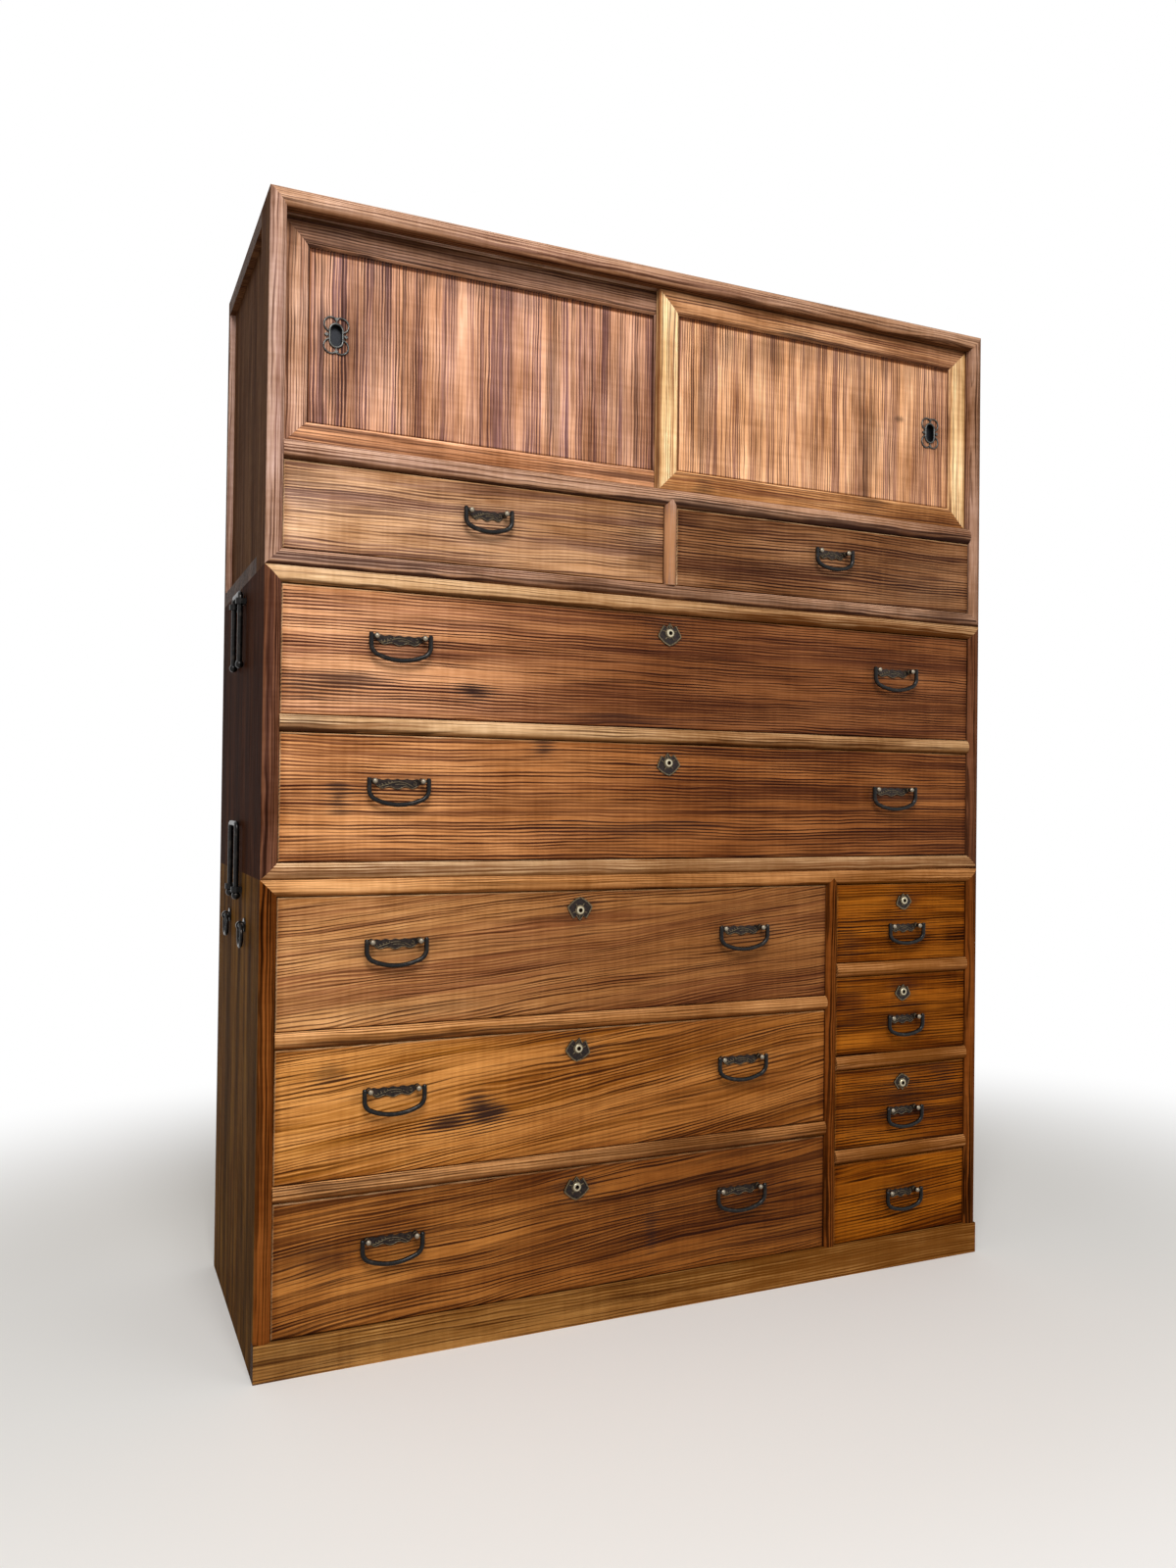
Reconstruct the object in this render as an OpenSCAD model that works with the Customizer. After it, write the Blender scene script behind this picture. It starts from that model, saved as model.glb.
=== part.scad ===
// Kimono chest in three stacking sections: oiled paulownia boards with moulded and
// mitred front edges, eleven drawers, two sliding doors and black iron fittings.
// Millimetres. +Z is up, +X is to the right seen from the front, +Y is to the back.
// The origin is on the floor, in the middle of the outline seen from above.

/* [Case] */
// Width of the three sections
case_w = 1200; // [1150:5:1260]
// Depth from the crown of the front mouldings to the back
case_d = 425; // [400:1:470]
// Thickness of the sides
side_t = 22; // [19:0.5:26]
// Thickness of the boards and rails that lie flat
board_t = 22; // [19:0.5:26]
// How far the mouldings of the case are rounded at the front
case_round = 5; // [3:0.5:7]
// How far the mouldings of the rails and dividers are rounded at the front
rail_round = 6; // [3:0.5:8]
// Depth of the rails between the drawers
rail_d = 45; // [35:1:70]
// Thickness of the dust panels behind the rails
dust_t = 9; // [6:0.5:14]
// Thickness of the back boards
back_t = 8; // [6:0.5:12]
// Number of boards side by side in each back
back_n = 4; // [3:1:6]
// Gap at the glued and nailed joints between two pieces of wood
joint_gap = 0.1; // [0.05:0.05:0.3]

/* [Lower section] */
// Height of the plinth board
plinth_h = 50; // [40:1:70]
// Thickness of the plinth boards
plinth_t = 20; // [16:0.5:24]
// Thickness of the bottom board behind the plinth
bottom_t = 16; // [12:0.5:20]
// Height of each of the three wide drawer openings
wide_h = 179.5; // [160:0.5:200]
// Width of the wide drawer openings
wide_w = 870; // [800:1:880]
// Thickness of the divider beside the wide drawers
lower_divider_t = 20; // [18:0.5:26]

/* [Middle section] */
// Height of each of the two full-width drawer openings
middle_drawer_h = 174.5; // [160:0.5:200]

/* [Upper section] */
// Height of the two small drawer openings
upper_drawer_h = 120; // [110:0.5:140]
// Thickness of the divider between the two small drawers
upper_divider_t = 20; // [18:0.5:26]
// Thickness of the shelf that carries the sliding doors
shelf_t = 25; // [22:0.5:30]
// Height of the opening of the sliding doors
door_open_h = 309; // [280:1:340]
// Thickness of the top board
top_t = 24; // [20:0.5:28]
// Width of the front stile of the upper sides
front_stile_w = 78; // [60:1:100]
// Width of the rear stile of the upper sides
rear_stile_w = 16; // [12:1:40]
// How far the panel of the upper sides lies back from the stiles
side_recess = 9; // [5:0.5:12]

/* [Drawers] */
// How far the drawer fronts lie back from the crown of the mouldings
face_back = 6; // [6:0.5:9]
// Thickness of the drawer fronts
front_t = 20; // [16:0.5:24]
// Width of the eased edge round a drawer front
front_ease = 1.4; // [0.5:0.1:2]
// Thickness that a drawer front keeps before the ends of its sides
front_lap = 8; // [6:0.5:12]
// Thickness of the drawer sides and backs
drawer_side_t = 12; // [9:0.5:15]
// Thickness of the drawer bottoms
drawer_bottom_t = 7; // [5:0.5:10]
// How far the drawer bottoms lie above the lower edge of the sides
bottom_lift = 2; // [1:0.5:5]
// How far the drawer sides lie below the top of the front
side_drop = 3; // [1:0.5:6]
// Number of fingers and gaps in the rear corners of a drawer
finger_n = 5; // [3:2:9]
// Gap under a drawer
run_gap = 0.3; // [0.2:0.1:1]
// Gap at each side of a drawer
side_gap = 1; // [0.5:0.1:2]
// Gap above a drawer
top_gap = 1.4; // [0.8:0.1:3]
// Gap behind a drawer
rear_gap = 3; // [1:0.5:8]

/* [Sliding doors] */
// How far the front door lies back from the crown of the mouldings
door_back = 17; // [14:0.5:24]
// Thickness of the doors
door_t = 12; // [11:0.5:16]
// Gap between the two doors
door_gap = 3; // [2.5:0.5:6]
// Width of the frame members of the doors, with their bead
door_frame_w = 34; // [28:0.5:42]
// Width of the stepped bead at the inner edge of the frame members
bead_w = 5; // [3:0.5:7]
// Depth of the step of the bead
bead_step = 1.2; // [0.6:0.1:2]
// How far the door panels lie back from the frame
panel_back = 5; // [4:0.5:6]
// Thickness of the door panels
panel_t = 5; // [3:0.5:5]
// Thickness of the tongues that run in the tracks
tongue_t = 8; // [6:0.5:9]
// Clearance at each side of the tongues
tongue_gap = 0.5; // [0.3:0.1:1]
// Depth of the lower track
lower_track = 3; // [2:0.5:5]
// Depth of the upper track
upper_track = 10; // [8:0.5:12]
// Gap between the shoulders of the doors and the boards
shoulder_gap = 0.8; // [0.5:0.1:2]
// Gap between a closed door and the side
close_gap = 0.5; // [0.3:0.1:1]

/* [Door pulls] */
// Distance from the outer edge of a door to the middle of its pull
pull_inset = 73; // [60:1:90]
// Height of the pulls above the middle of the doors
pull_rise = 5; // [0:1:20]
// Width of the raised oval rim
rim_w = 21; // [18:0.5:24]
// Height of the raised oval rim
rim_h = 35; // [30:0.5:40]
// Diameter of the rod of the rim
rim_rod = 3; // [2:0.1:4]
// Width of the pull over its lobes
pull_w = 36; // [34:0.5:38]
// Height of the pull over its lobes
pull_h = 52; // [50:0.5:54]
// Radius of the middle of the wire of the lobes
lobe_r = 10; // [9.5:0.5:11]
// Diameter of the wire of the four lobes
lobe_rod = 2.4; // [1.6:0.1:3]
// Width of the diamonds between the lobes
diamond_w = 4; // [3:0.1:5]
// Depth of the cup behind the face of the panel
cup_depth = 6.4; // [5:0.1:6.8]
// Thickness of the wall of the cup
cup_wall = 1; // [0.8:0.1:1.5]
// Clearance round the cup in the door panel
cup_gap = 0.3; // [0.2:0.1:0.8]

/* [Bail handles] */
// Distance between the arms of a large bail
large_bail_w = 83; // [76:0.5:92]
// Distance from the pins to the bottom of a large bail
large_bail_h = 35.5; // [32:0.5:42]
// Distance between the arms of a small bail
small_bail_w = 68; // [62:0.5:74]
// Distance from the pins to the bottom of a small bail
small_bail_h = 31.5; // [28:0.5:36]
// Diameter of the rod of the bails
bail_rod = 6.5; // [5:0.1:7.5]
// Radius of the bends of a large bail
large_bail_bend = 15; // [11:0.5:20]
// Radius of the bowed bottom of a large bail
large_bail_bow = 80; // [56:1:140]
// Radius of the bends of a small bail
small_bail_bend = 12.5; // [10:0.5:17]
// Radius of the bowed bottom of a small bail
small_bail_bow = 66; // [46:1:120]
// How much thicker a bail is where a bend meets the bowed bottom
bail_knuckle = 0.3; // [0.2:0.1:0.6]
// How far the arms reach above the pins
bail_end = 4.5; // [4:0.1:6]
// Diameter of the pins
bail_pin = 3.2; // [2.4:0.1:3.6]
// Clearance round the pins
pin_gap = 0.1; // [0.05:0.05:0.3]
// Distance from the drawer front to the pins
bail_reach = 11; // [9:0.5:14]
// Distance from the edge of an opening to the middle of a bail
bail_inset = 160; // [130:1:200]
// Distance from the top of a wide opening to the pins
large_bail_drop = 64; // [55:1:80]
// Distance from the top of a small lower opening to the pins
small_bail_drop = 71; // [60:1:76]
// Distance from the top of the lowest small opening to the pins
plain_bail_drop = 56; // [46:1:64]
// Distance from the top of an upper opening to the pins
upper_bail_drop = 43; // [36:1:60]

/* [Posts and plates] */
// Diameter of the posts of the bails
post_d = 6.4; // [5.6:0.1:7]
// Diameter of the domed heads of the posts
post_head = 8.2; // [7:0.1:9]
// Gap between an arm of a bail and the head of its post
post_gap = 0.6; // [0.3:0.1:1]
// Diameter of the shanks that go through the drawer fronts
shank_d = 3.6; // [3:0.1:4.4]
// Clearance round the shanks
shank_gap = 0.2; // [0.1:0.05:0.5]
// Diameter of the burrs that hold the shanks behind the drawer fronts
burr_d = 11; // [8:0.5:14]
// Thickness of the burrs
burr_t = 1.5; // [1:0.1:2]
// Thickness of the plates between the posts
plate_t = 1.5; // [1:0.1:2.5]
// Height of the plates below the pins, at the middle of their lower edge
plate_h = 10; // [8:0.5:12]
// Height of the plates above the pins
plate_rise = 2.4; // [1.5:0.1:3.5]
// Height of the waves in the edges of the plates
plate_wave = 1.6; // [0.8:0.1:2.4]

/* [Locks] */
// Distance from the top of an opening to the keyhole
lock_drop = 29.5; // [26:0.5:34]
// Distance from the keyhole to the point of the flower plate on a wide drawer
large_flower = 19.5; // [17:0.5:22]
// Distance from the keyhole to the point of the flower plate on a small drawer
small_flower = 15.5; // [15:0.5:18]
// Thickness of the flower plates
flower_t = 1.6; // [1:0.1:2.4]
// Outer diameter of the key tube
tube_d = 12; // [10:0.5:12.5]
// Inner diameter of the key tube
tube_bore = 6.5; // [5:0.5:7.5]
// How far the key tube stands out
tube_out = 5; // [3:0.5:7]
// Width of the lock box behind a drawer front
lock_w = 44; // [36:1:54]
// Height of the lock box
lock_h = 34; // [30:1:40]
// Thickness of the lock box
lock_t = 9; // [7:0.5:12]
// Width of the bolt
bolt_w = 16; // [12:0.5:20]
// Thickness of the bolt
bolt_t = 4; // [3:0.5:5]

/* [Carrying loops] */
// Distance between the arms of a loop
loop_w = 66; // [56:1:76]
// Distance from the crossbar of a loop to its knobs
loop_l = 103; // [90:1:120]
// Diameter of the rod of the loops
loop_rod = 7.5; // [6:0.1:9]
// Radius of the bends between the crossbar and the arms
loop_bend = 8; // [6:0.5:12]
// Diameter of the ball knobs at the ends of the arms
knob_d = 12; // [10:0.5:14]
// Distance from the side of the case to the middle of the rod
loop_out = 7; // [6.5:0.5:12]
// Distance from the top of a section to the eyes
eye_drop = 21; // [20:1:36]
// Height of the eyes
eye_h = 8; // [6:0.5:12]
// Clearance round the arms in the eyes
eye_gap = 0.4; // [0.2:0.1:0.8]
// Thickness of the metal of the eyes
eye_wall = 3; // [2:0.5:4]
// Gap between a loop and the eye that it rests on
stop_gap = 0.3; // [0.2:0.1:0.6]

/* [Hanging rings] */
// Distance from the top of the lower section to the pivot of the rings
ring_drop = 72; // [64:1:90]
// Distance from the middle of the loops to each ring
ring_spread = 78; // [60:1:100]
// Radius of the middle of the ring's rod
ring_r = 14.5; // [12:0.5:18]
// Diameter of the rod of the rings
ring_rod = 5.5; // [4:0.1:7]
// Distance from the side of the case to the pivot
ring_out = 6.5; // [6.5:0.5:12]
// Thickness of the ears that hold the rings
ear_t = 4.5; // [3:0.5:6]
// Clearance round a ring in its ear
ear_gap = 0.7; // [0.4:0.1:1.2]

/* [Hidden] */
$fn = 64;

WOOD = "#8a5a34";
WOOD_DARK = "#5f3d26";
IRON = "#26262a";
BRONZE = "#5a4a3a";
PEWTER = "#5c6064";

// Depth in front of the mouldings that the posts and bails reach, and the shift that centres the outline
bail_front = bail_reach + max(bail_rod, post_head)/2 - face_back;
front_y = -(case_d - bail_front)/2;

// Levels of the lower section
inner_l = -case_w/2 + side_t;
inner_r = -inner_l;
inner_d = case_d - back_t;
lower_h = plinth_h + 3*wide_h + 3*board_t;
small_h = (3*wide_h - board_t)/4;
wide_r = inner_l + wide_w;
small_l = wide_r + lower_divider_t;

// Depth at which the loops on the sides are centred
loop_back = case_d/2;

// Levels of the middle and upper sections
middle_z = lower_h;
middle_h = 3*board_t + 2*middle_drawer_h;
upper_z = middle_z + middle_h;
shelf_z = upper_z + board_t + upper_drawer_h;
door_z = shelf_z + shelf_t;
top_z = door_z + door_open_h;
chest_h = top_z + top_t;

// Opening of a drawer as left, right, bottom and top
function wide_open(i) = [inner_l, wide_r, plinth_h + i*(wide_h + board_t), plinth_h + i*(wide_h + board_t) + wide_h];
function small_open(i) = [small_l, inner_r, plinth_h + i*(small_h + board_t), plinth_h + i*(small_h + board_t) + small_h];
function middle_open(i) = let (z = middle_z + board_t + i*(middle_drawer_h + board_t))
    [inner_l, inner_r, z, z + middle_drawer_h];
function upper_open(i) = [i == 0 ? inner_l : upper_divider_t/2, i == 0 ? -upper_divider_t/2 : inner_r,
    upper_z + board_t, shelf_z];

// Middles of the bails across an opening
function pair_x(open) = [open[0] + bail_inset, open[1] - bail_inset];
function single_x(open) = [(open[0] + open[1])/2];

// Extrudes a shape drawn in the front view, from depth a to depth b
module from_front(a, b) {
    translate([0, b, 0]) rotate([90, 0, 0]) linear_extrude(b - a) children();
}

// Extrudes a shape drawn as depth and height along X, from a to b
module along_x(a, b) {
    translate([a, 0, 0]) rotate([90, 0, 90]) linear_extrude(b - a) children();
}

// Extrudes a shape drawn in plan upwards, from a to b
module upward(a, b) {
    translate([0, 0, a]) linear_extrude(b - a) children();
}

// Block between two corners
module block(low, high) {
    translate(low) cube(high - low);
}

// Section of a board with a rounded front edge: depth along X, thickness along Y
module moulded(depth, t, rounding) {
    r = (t*t/4 + rounding*rounding)/(2*rounding);
    intersection() {
        square([depth, t]);
        union() {
            translate([r, t/2]) circle(r);
            translate([r, 0]) square([depth, t]);
        }
    }
}

// The same section turned for an upright board: thickness along X, depth along Y
module moulded_upright(depth, t, rounding) {
    mirror([1, -1]) moulded(depth, t, rounding);
}

// Flat board of a case with its ends mitred in the front view; its outer face is at z
module mitred_board(z, t, inward) {
    low = inward > 0 ? z : z - t;
    intersection() {
        along_x(-case_w/2, case_w/2) translate([0, low]) moulded(case_d, t, case_round);
        from_front(0, case_d) polygon([[-case_w/2, z], [case_w/2, z],
            [inner_r, z + inward*t], [inner_l, z + inward*t]]);
    }
}

// Left side of a case with its ends mitred; a foot end is cut square
module mitred_side(low, high, low_t, high_t, depth_from, depth_to) {
    intersection() {
        upward(low, high) translate([-case_w/2, 0]) moulded_upright(case_d, side_t, case_round);
        from_front(depth_from, depth_to) polygon([[-case_w/2, low], [-case_w/2, high],
            [inner_l, high - high_t], [inner_l, low + low_t]]);
    }
}

// Children as they are and mirrored to the right side
module both_sides() {
    children();
    mirror([1, 0, 0]) children();
}

// Moulded rail with its dust panel behind it, between two uprights
module rail(left, right, z) {
    along_x(left, right) translate([0, z]) moulded(rail_d, board_t, rail_round);
    block([left, rail_d + joint_gap, z + board_t - dust_t], [right, inner_d - joint_gap, z + board_t]);
}

// Point of a divider in the front view, above the height z
module point(left, right, z) {
    polygon([[left, z], [right, z], [(left + right)/2, z + (right - left)/2]]);
}

// Divider with a moulded front whose top runs to a point in the board above
module divider(left, right, low, high) {
    rise = (right - left)/2;
    upward(low, high) translate([left, 0]) moulded_upright(inner_d, right - left, rail_round);
    intersection() {
        upward(high, high + rise) translate([left, 0]) moulded_upright(rail_d/2, right - left, rail_round);
        from_front(0, rail_d/2) point(left, right, high);
    }
}

// The notch for the point of a divider in the board above it
module point_notch(left, right, z) {
    from_front(-1, rail_d/2) point(left, right, z);
}

// Mortise in the underside of a board for the bolt of a lock at x
module bolt_mortise(x, z) {
    y = face_back + front_t + (lock_t - bolt_t)/2;
    block([x - bolt_w/2 - 1, y - 0.5, z - 1], [x + bolt_w/2 + 1, y + bolt_t + 0.5, z + board_t/3]);
}

// Back of a section, as boards side by side
module back_boards(low, high) {
    w = (inner_r - inner_l)/back_n;
    for (i = [0:back_n - 1])
        block([inner_l + i*w + joint_gap/2, inner_d, low + joint_gap],
            [inner_l + (i + 1)*w - joint_gap/2, case_d, high - joint_gap]);
}

// Plinth: front board, rear board and the bearer under the divider
module plinth() {
    z = plinth_h - bottom_t;
    color(WOOD_DARK) translate([0, front_y, 0]) {
        block([-case_w/2, 0, 0], [case_w/2, plinth_t, plinth_h]);
        block([inner_l, case_d - plinth_t, 0], [inner_r, case_d, z]);
        block([wide_r, plinth_t + joint_gap, 0], [small_l, case_d - plinth_t - joint_gap, z]);
    }
}

module lower_uprights() {
    color(WOOD_DARK) translate([0, front_y, 0]) {
        both_sides() difference() {
            mitred_side(0, lower_h, 0, board_t, 0, case_d);
            block([-case_w/2 - 1, -1, -1], [inner_l + 1, plinth_t, plinth_h]);
        }
        divider(wide_r, small_l, plinth_h, lower_h - board_t);
    }
}

module lower_boards() {
    color(WOOD) translate([0, front_y, 0]) {
        difference() {
            mitred_board(lower_h, board_t, -1);
            point_notch(wide_r, small_l, lower_h - board_t);
            bolt_mortise(single_x(wide_open(2))[0], lower_h - board_t);
            bolt_mortise(single_x(small_open(3))[0], lower_h - board_t);
        }
        block([inner_l, plinth_t, plinth_h - bottom_t], [inner_r, case_d, plinth_h]);
        for (i = [0, 1]) difference() {
            rail(inner_l, wide_r, wide_open(i)[3]);
            bolt_mortise(single_x(wide_open(i))[0], wide_open(i)[3]);
        }
        for (i = [0:2]) difference() {
            rail(small_l, inner_r, small_open(i)[3]);
            if (i > 0) bolt_mortise(single_x(small_open(i))[0], small_open(i)[3]);
        }
        back_boards(plinth_h, lower_h - board_t);
    }
}

module middle_uprights() {
    color(WOOD_DARK) translate([0, front_y, 0])
        both_sides() mitred_side(middle_z, upper_z, board_t, board_t, 0, case_d);
}

module middle_boards() {
    color(WOOD) translate([0, front_y, 0]) {
        mitred_board(middle_z, board_t, 1);
        difference() {
            mitred_board(upper_z, board_t, -1);
            bolt_mortise(single_x(middle_open(1))[0], upper_z - board_t);
        }
        difference() {
            rail(inner_l, inner_r, middle_open(0)[3]);
            bolt_mortise(single_x(middle_open(0))[0], middle_open(0)[3]);
        }
        back_boards(middle_z + board_t, upper_z - board_t);
    }
}

// Sides of the upper section, framed by two stiles round a panel that lies back, and the divider
module upper_uprights() {
    rear = case_d - rear_stile_w;
    color(WOOD_DARK) translate([0, front_y, 0]) {
        both_sides() {
            mitred_side(upper_z, chest_h, board_t, top_t, 0, front_stile_w);
            mitred_side(upper_z, chest_h, board_t, top_t, rear, case_d);
            block([-case_w/2 + side_recess, front_stile_w + joint_gap, upper_z + board_t],
                [inner_l, rear - joint_gap, top_z]);
        }
        divider(-upper_divider_t/2, upper_divider_t/2, upper_z + board_t, shelf_z);
    }
}

// Board of the upper section, mitred into the stiles and running out to the sides between them
module upper_board(z, t, inward) {
    low = inward > 0 ? z : z - t;
    mitred_board(z, t, inward);
    block([-case_w/2, front_stile_w, low], [case_w/2, case_d - rear_stile_w, low + t]);
}

// Track for a door whose face is at depth y, from z up or down by depth
module track(y, low, high) {
    block([inner_l, y + door_t - tongue_t - tongue_gap, low], [inner_r, y + door_t + tongue_gap, high]);
}

module upper_boards() {
    color(WOOD) translate([0, front_y, 0]) {
        upper_board(upper_z, board_t, 1);
        difference() {
            upper_board(chest_h, top_t, -1);
            for (y = [door_back, rear_door_y]) track(y, top_z - 1, top_z + upper_track);
        }
        difference() {
            along_x(inner_l, inner_r) translate([0, shelf_z]) moulded(inner_d - joint_gap, shelf_t, rail_round);
            for (y = [door_back, rear_door_y]) track(y, door_z - lower_track, door_z + 1);
            point_notch(-upper_divider_t/2, upper_divider_t/2, shelf_z);
        }
        back_boards(upper_z + board_t, shelf_z);
        back_boards(door_z, top_z);
        back_boards(shelf_z, door_z);
    }
}

// One drawer in its opening: front, two sides, back and bottom
module drawer(open, middles, bail_w, drop, locked) {
    left = open[0] + side_gap;
    right = open[1] - side_gap;
    low = open[2] + run_gap;
    high = open[3] - top_gap;
    face = face_back;
    inside = face + front_t;
    rear = inner_d - rear_gap;
    back_y = rear - drawer_side_t;
    side_top = high - side_drop;
    finger = (side_top - low)/finger_n;
    module front_board() {
        intersection() {
            along_x(left, right) polygon([[face + front_ease, low], [inside, low], [inside, high],
                [face + front_ease, high], [face, high - front_ease], [face, low + front_ease]]);
            upward(low, high) polygon([[left, face + front_ease], [left + front_ease, face],
                [right - front_ease, face], [right, face + front_ease], [right, inside], [left, inside]]);
        }
    }
    module side_board(x) {
        difference() {
            block([x, face + front_lap + joint_gap, low], [x + drawer_side_t, rear, side_top]);
            for (i = [1:2:finger_n - 1])
                block([x - 1, back_y - joint_gap, low + i*finger - joint_gap],
                    [x + drawer_side_t + 1, rear + 1, low + (i + 1)*finger + joint_gap]);
        }
    }
    color(WOOD) translate([0, front_y, 0]) {
        difference() {
            front_board();
            for (x = [left, right - drawer_side_t])
                block([x - joint_gap, face + front_lap, low - 1],
                    [x + drawer_side_t + joint_gap, inside + 1, side_top + joint_gap]);
            for (m = middles, s = [-1, 1]) translate([m + s*post_x(bail_w), face - 1, open[3] - drop])
                rotate([-90, 0, 0]) cylinder(d = shank_d + 2*shank_gap, h = front_t + 2);
            if (locked) translate([(open[0] + open[1])/2, face - 1, open[3] - lock_drop])
                rotate([-90, 0, 0]) cylinder(d = tube_bore, h = front_t + 2);
        }
        side_board(left);
        side_board(right - drawer_side_t);
        block([left + drawer_side_t + joint_gap, back_y, low],
            [right - drawer_side_t - joint_gap, rear, side_top]);
        for (i = [1:2:finger_n - 1])
            block([left, back_y, low + i*finger], [right, rear, low + (i + 1)*finger]);
        block([left + drawer_side_t + joint_gap, inside + joint_gap, low + bottom_lift],
            [right - drawer_side_t - joint_gap, back_y - joint_gap, low + bottom_lift + drawer_bottom_t]);
    }
}

// Distance from the middle of a bail to each of its posts
function post_x(bail_w) = bail_w/2 - bail_rod/2 - post_gap - post_head/2;

// Post with its domed head, its flange, the bore for the pin of the bail, and its shank and burr
module post() {
    difference() {
        union() {
            rotate([90, 0, 0]) cylinder(d = post_d, h = bail_reach);
            translate([0, -bail_reach, 0]) rotate([90, 45, 0]) sphere(d = post_head);
            rotate([90, 0, 0]) cylinder(d = post_head, h = plate_t);
        }
        translate([-post_head, -bail_reach, 0]) rotate([0, 90, 0])
            cylinder(d = bail_pin + 2*pin_gap, h = 2*post_head);
    }
    rotate([-90, 0, 0]) cylinder(d = shank_d, h = front_t + burr_t);
    translate([0, front_t, 0]) rotate([-90, 0, 0]) cylinder(d = burr_d, h = burr_t);
}

// Plate between two posts, with waved edges
module plate(bail_w) {
    half = post_x(bail_w);
    steps = 24;
    lower = [for (i = [0:steps]) let (u = -1 + 2*i/steps)
        [half*u, -plate_h - plate_wave*cos(360*1.5*u) + (plate_h - 5)*u*u*u*u]];
    upper = [for (i = [0:steps]) let (u = 1 - 2*i/steps) [half*u, plate_rise + plate_wave*cos(360*2.5*u)/2]];
    from_front(-plate_t, 0) polygon(concat(lower, upper));
}

// Right half of the outline of a flower plate of size 1, from its point below to its crown
flower_half = [[0, -1], [0.30, -0.88], [0.60, -0.68], [0.84, -0.46], [1.02, -0.27], [0.95, -0.06],
    [0.84, 0.14], [0.71, 0.36], [0.56, 0.60], [0.42, 0.54], [0.30, 0.40], [0.14, 0.62], [0, 0.78]];

// Outline of a flower with a point, a crown of three tips, and a petal to each side of them
module flower_outline(size) {
    n = len(flower_half);
    left = [for (i = [n - 2:-1:1]) [-flower_half[i][0], flower_half[i][1]]];
    polygon(size*concat(flower_half, left));
}

// Flower plate with a raised border and the key tube
module flower(r) {
    out = tube_d/2;
    border_w = 2;
    border_t = 0.6;
    difference() {
        union() {
            from_front(-flower_t, 0) flower_outline(r);
            from_front(-flower_t - border_t, -flower_t) difference() {
                flower_outline(r);
                flower_outline(r - border_w);
            }
            rotate([90, 0, 0]) rotate_extrude() polygon([[0, flower_t/2], [out + 1.5, flower_t/2],
                [out + 1.5, flower_t + 0.8], [out, flower_t + 1.2], [out, tube_out - 0.8],
                [out - 0.8, tube_out], [0, tube_out]]);
        }
        rotate([90, 0, 0]) translate([0, 0, -1]) cylinder(d = tube_bore, h = tube_out + 2);
    }
}

// Fittings of one drawer: posts and plates of its bails, flower plate, lock box and bolt
module fittings(open, middles, bail_w, drop, flower_r, turn = 0) {
    z = open[3] - drop;
    x = (open[0] + open[1])/2;
    inside = face_back + front_t;
    color(BRONZE) translate([0, front_y, 0]) {
        $fn = 28;
        for (m = middles) translate([m, face_back, z]) {
            for (s = [-1, 1]) translate([s*post_x(bail_w), 0, 0]) post();
            plate(bail_w);
        }
        if (flower_r > 0) {
            translate([x, face_back, open[3] - lock_drop]) rotate([0, turn, 0]) flower(flower_r);
            difference() {
                block([x - lock_w/2, inside, open[3] - top_gap - lock_h],
                    [x + lock_w/2, inside + lock_t, open[3] - top_gap]);
                block([x - bolt_w/2, inside + (lock_t - bolt_t)/2, open[3] - lock_drop/2],
                    [x + bolt_w/2, inside + (lock_t + bolt_t)/2, open[3]]);
                translate([x, 0, open[3] - lock_drop]) rotate([-90, 0, 0])
                    cylinder(d = tube_bore, h = inside + lock_t - 1.5);
            }
            block([x - bolt_w/2 + 0.2, inside + (lock_t - bolt_t)/2 + 0.2, open[3] - lock_drop/2 + 0.2],
                [x + bolt_w/2 - 0.2, inside + (lock_t + bolt_t)/2 - 0.2, open[3] - top_gap]);
        }
    }
}

// Drawers and fittings with two large bails, and with one small bail
module wide_drawer(open) {
    drawer(open, pair_x(open), large_bail_w, large_bail_drop, true);
}

module small_drawer(open, drop, locked) {
    drawer(open, single_x(open), small_bail_w, drop, locked);
}

module wide_fittings(open, turn) {
    fittings(open, pair_x(open), large_bail_w, large_bail_drop, large_flower, turn);
}

module small_fittings(open, drop, flower_r, turn = 0) {
    fittings(open, single_x(open), small_bail_w, drop, flower_r, turn);
}

// Sector of a ring in the plane of X and Z, round the point at x, z, from angle a to angle b
module bend(x, z, r, rod, a, b) {
    translate([x, 0, z]) rotate([90, 0, 0]) mirror([0, 0, 1])
        rotate([0, 0, a]) rotate_extrude(angle = b - a) translate([r, 0]) circle(d = rod);
}

// Bail hanging from its pins at the origin, in the plane of X and Z: w between its arms, h deep,
// with bends of radius r and a bottom bowed to the radius bow
module bail_form(w, h, r, bow) {
    half = w/2;
    low = bail_rod/2 - h;
    swing = asin((half - r)/(bow - r));
    bend_z = low + bow - (bow - r)*cos(swing);
    $fn = 28;
    bend(0, low + bow, bow, bail_rod, -90 - swing, -90 + swing, $fn = 72);
    bend(r - half, bend_z, r, bail_rod, 180, 270 - swing);
    mirror([1, 0, 0]) bend(r - half, bend_z, r, bail_rod, 180, 270 - swing);
    for (s = [-1, 1]) {
        translate([s*bow*sin(swing), 0, low + bow - bow*cos(swing)]) rotate([0, 90 - s*swing, 0])
            sphere(d = bail_rod + bail_knuckle);
        translate([s*half, 0, 0]) {
            translate([0, 0, bend_z]) cylinder(d = bail_rod, h = bail_end - bail_rod/4 - bend_z);
            translate([0, 0, bail_end - bail_rod/4]) cylinder(d1 = bail_rod, d2 = bail_rod*0.7, h = bail_rod/4);
            rotate([0, -s*90, 0]) cylinder(d = bail_pin, h = half - post_x(w) + post_head/2);
        }
    }
}

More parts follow.
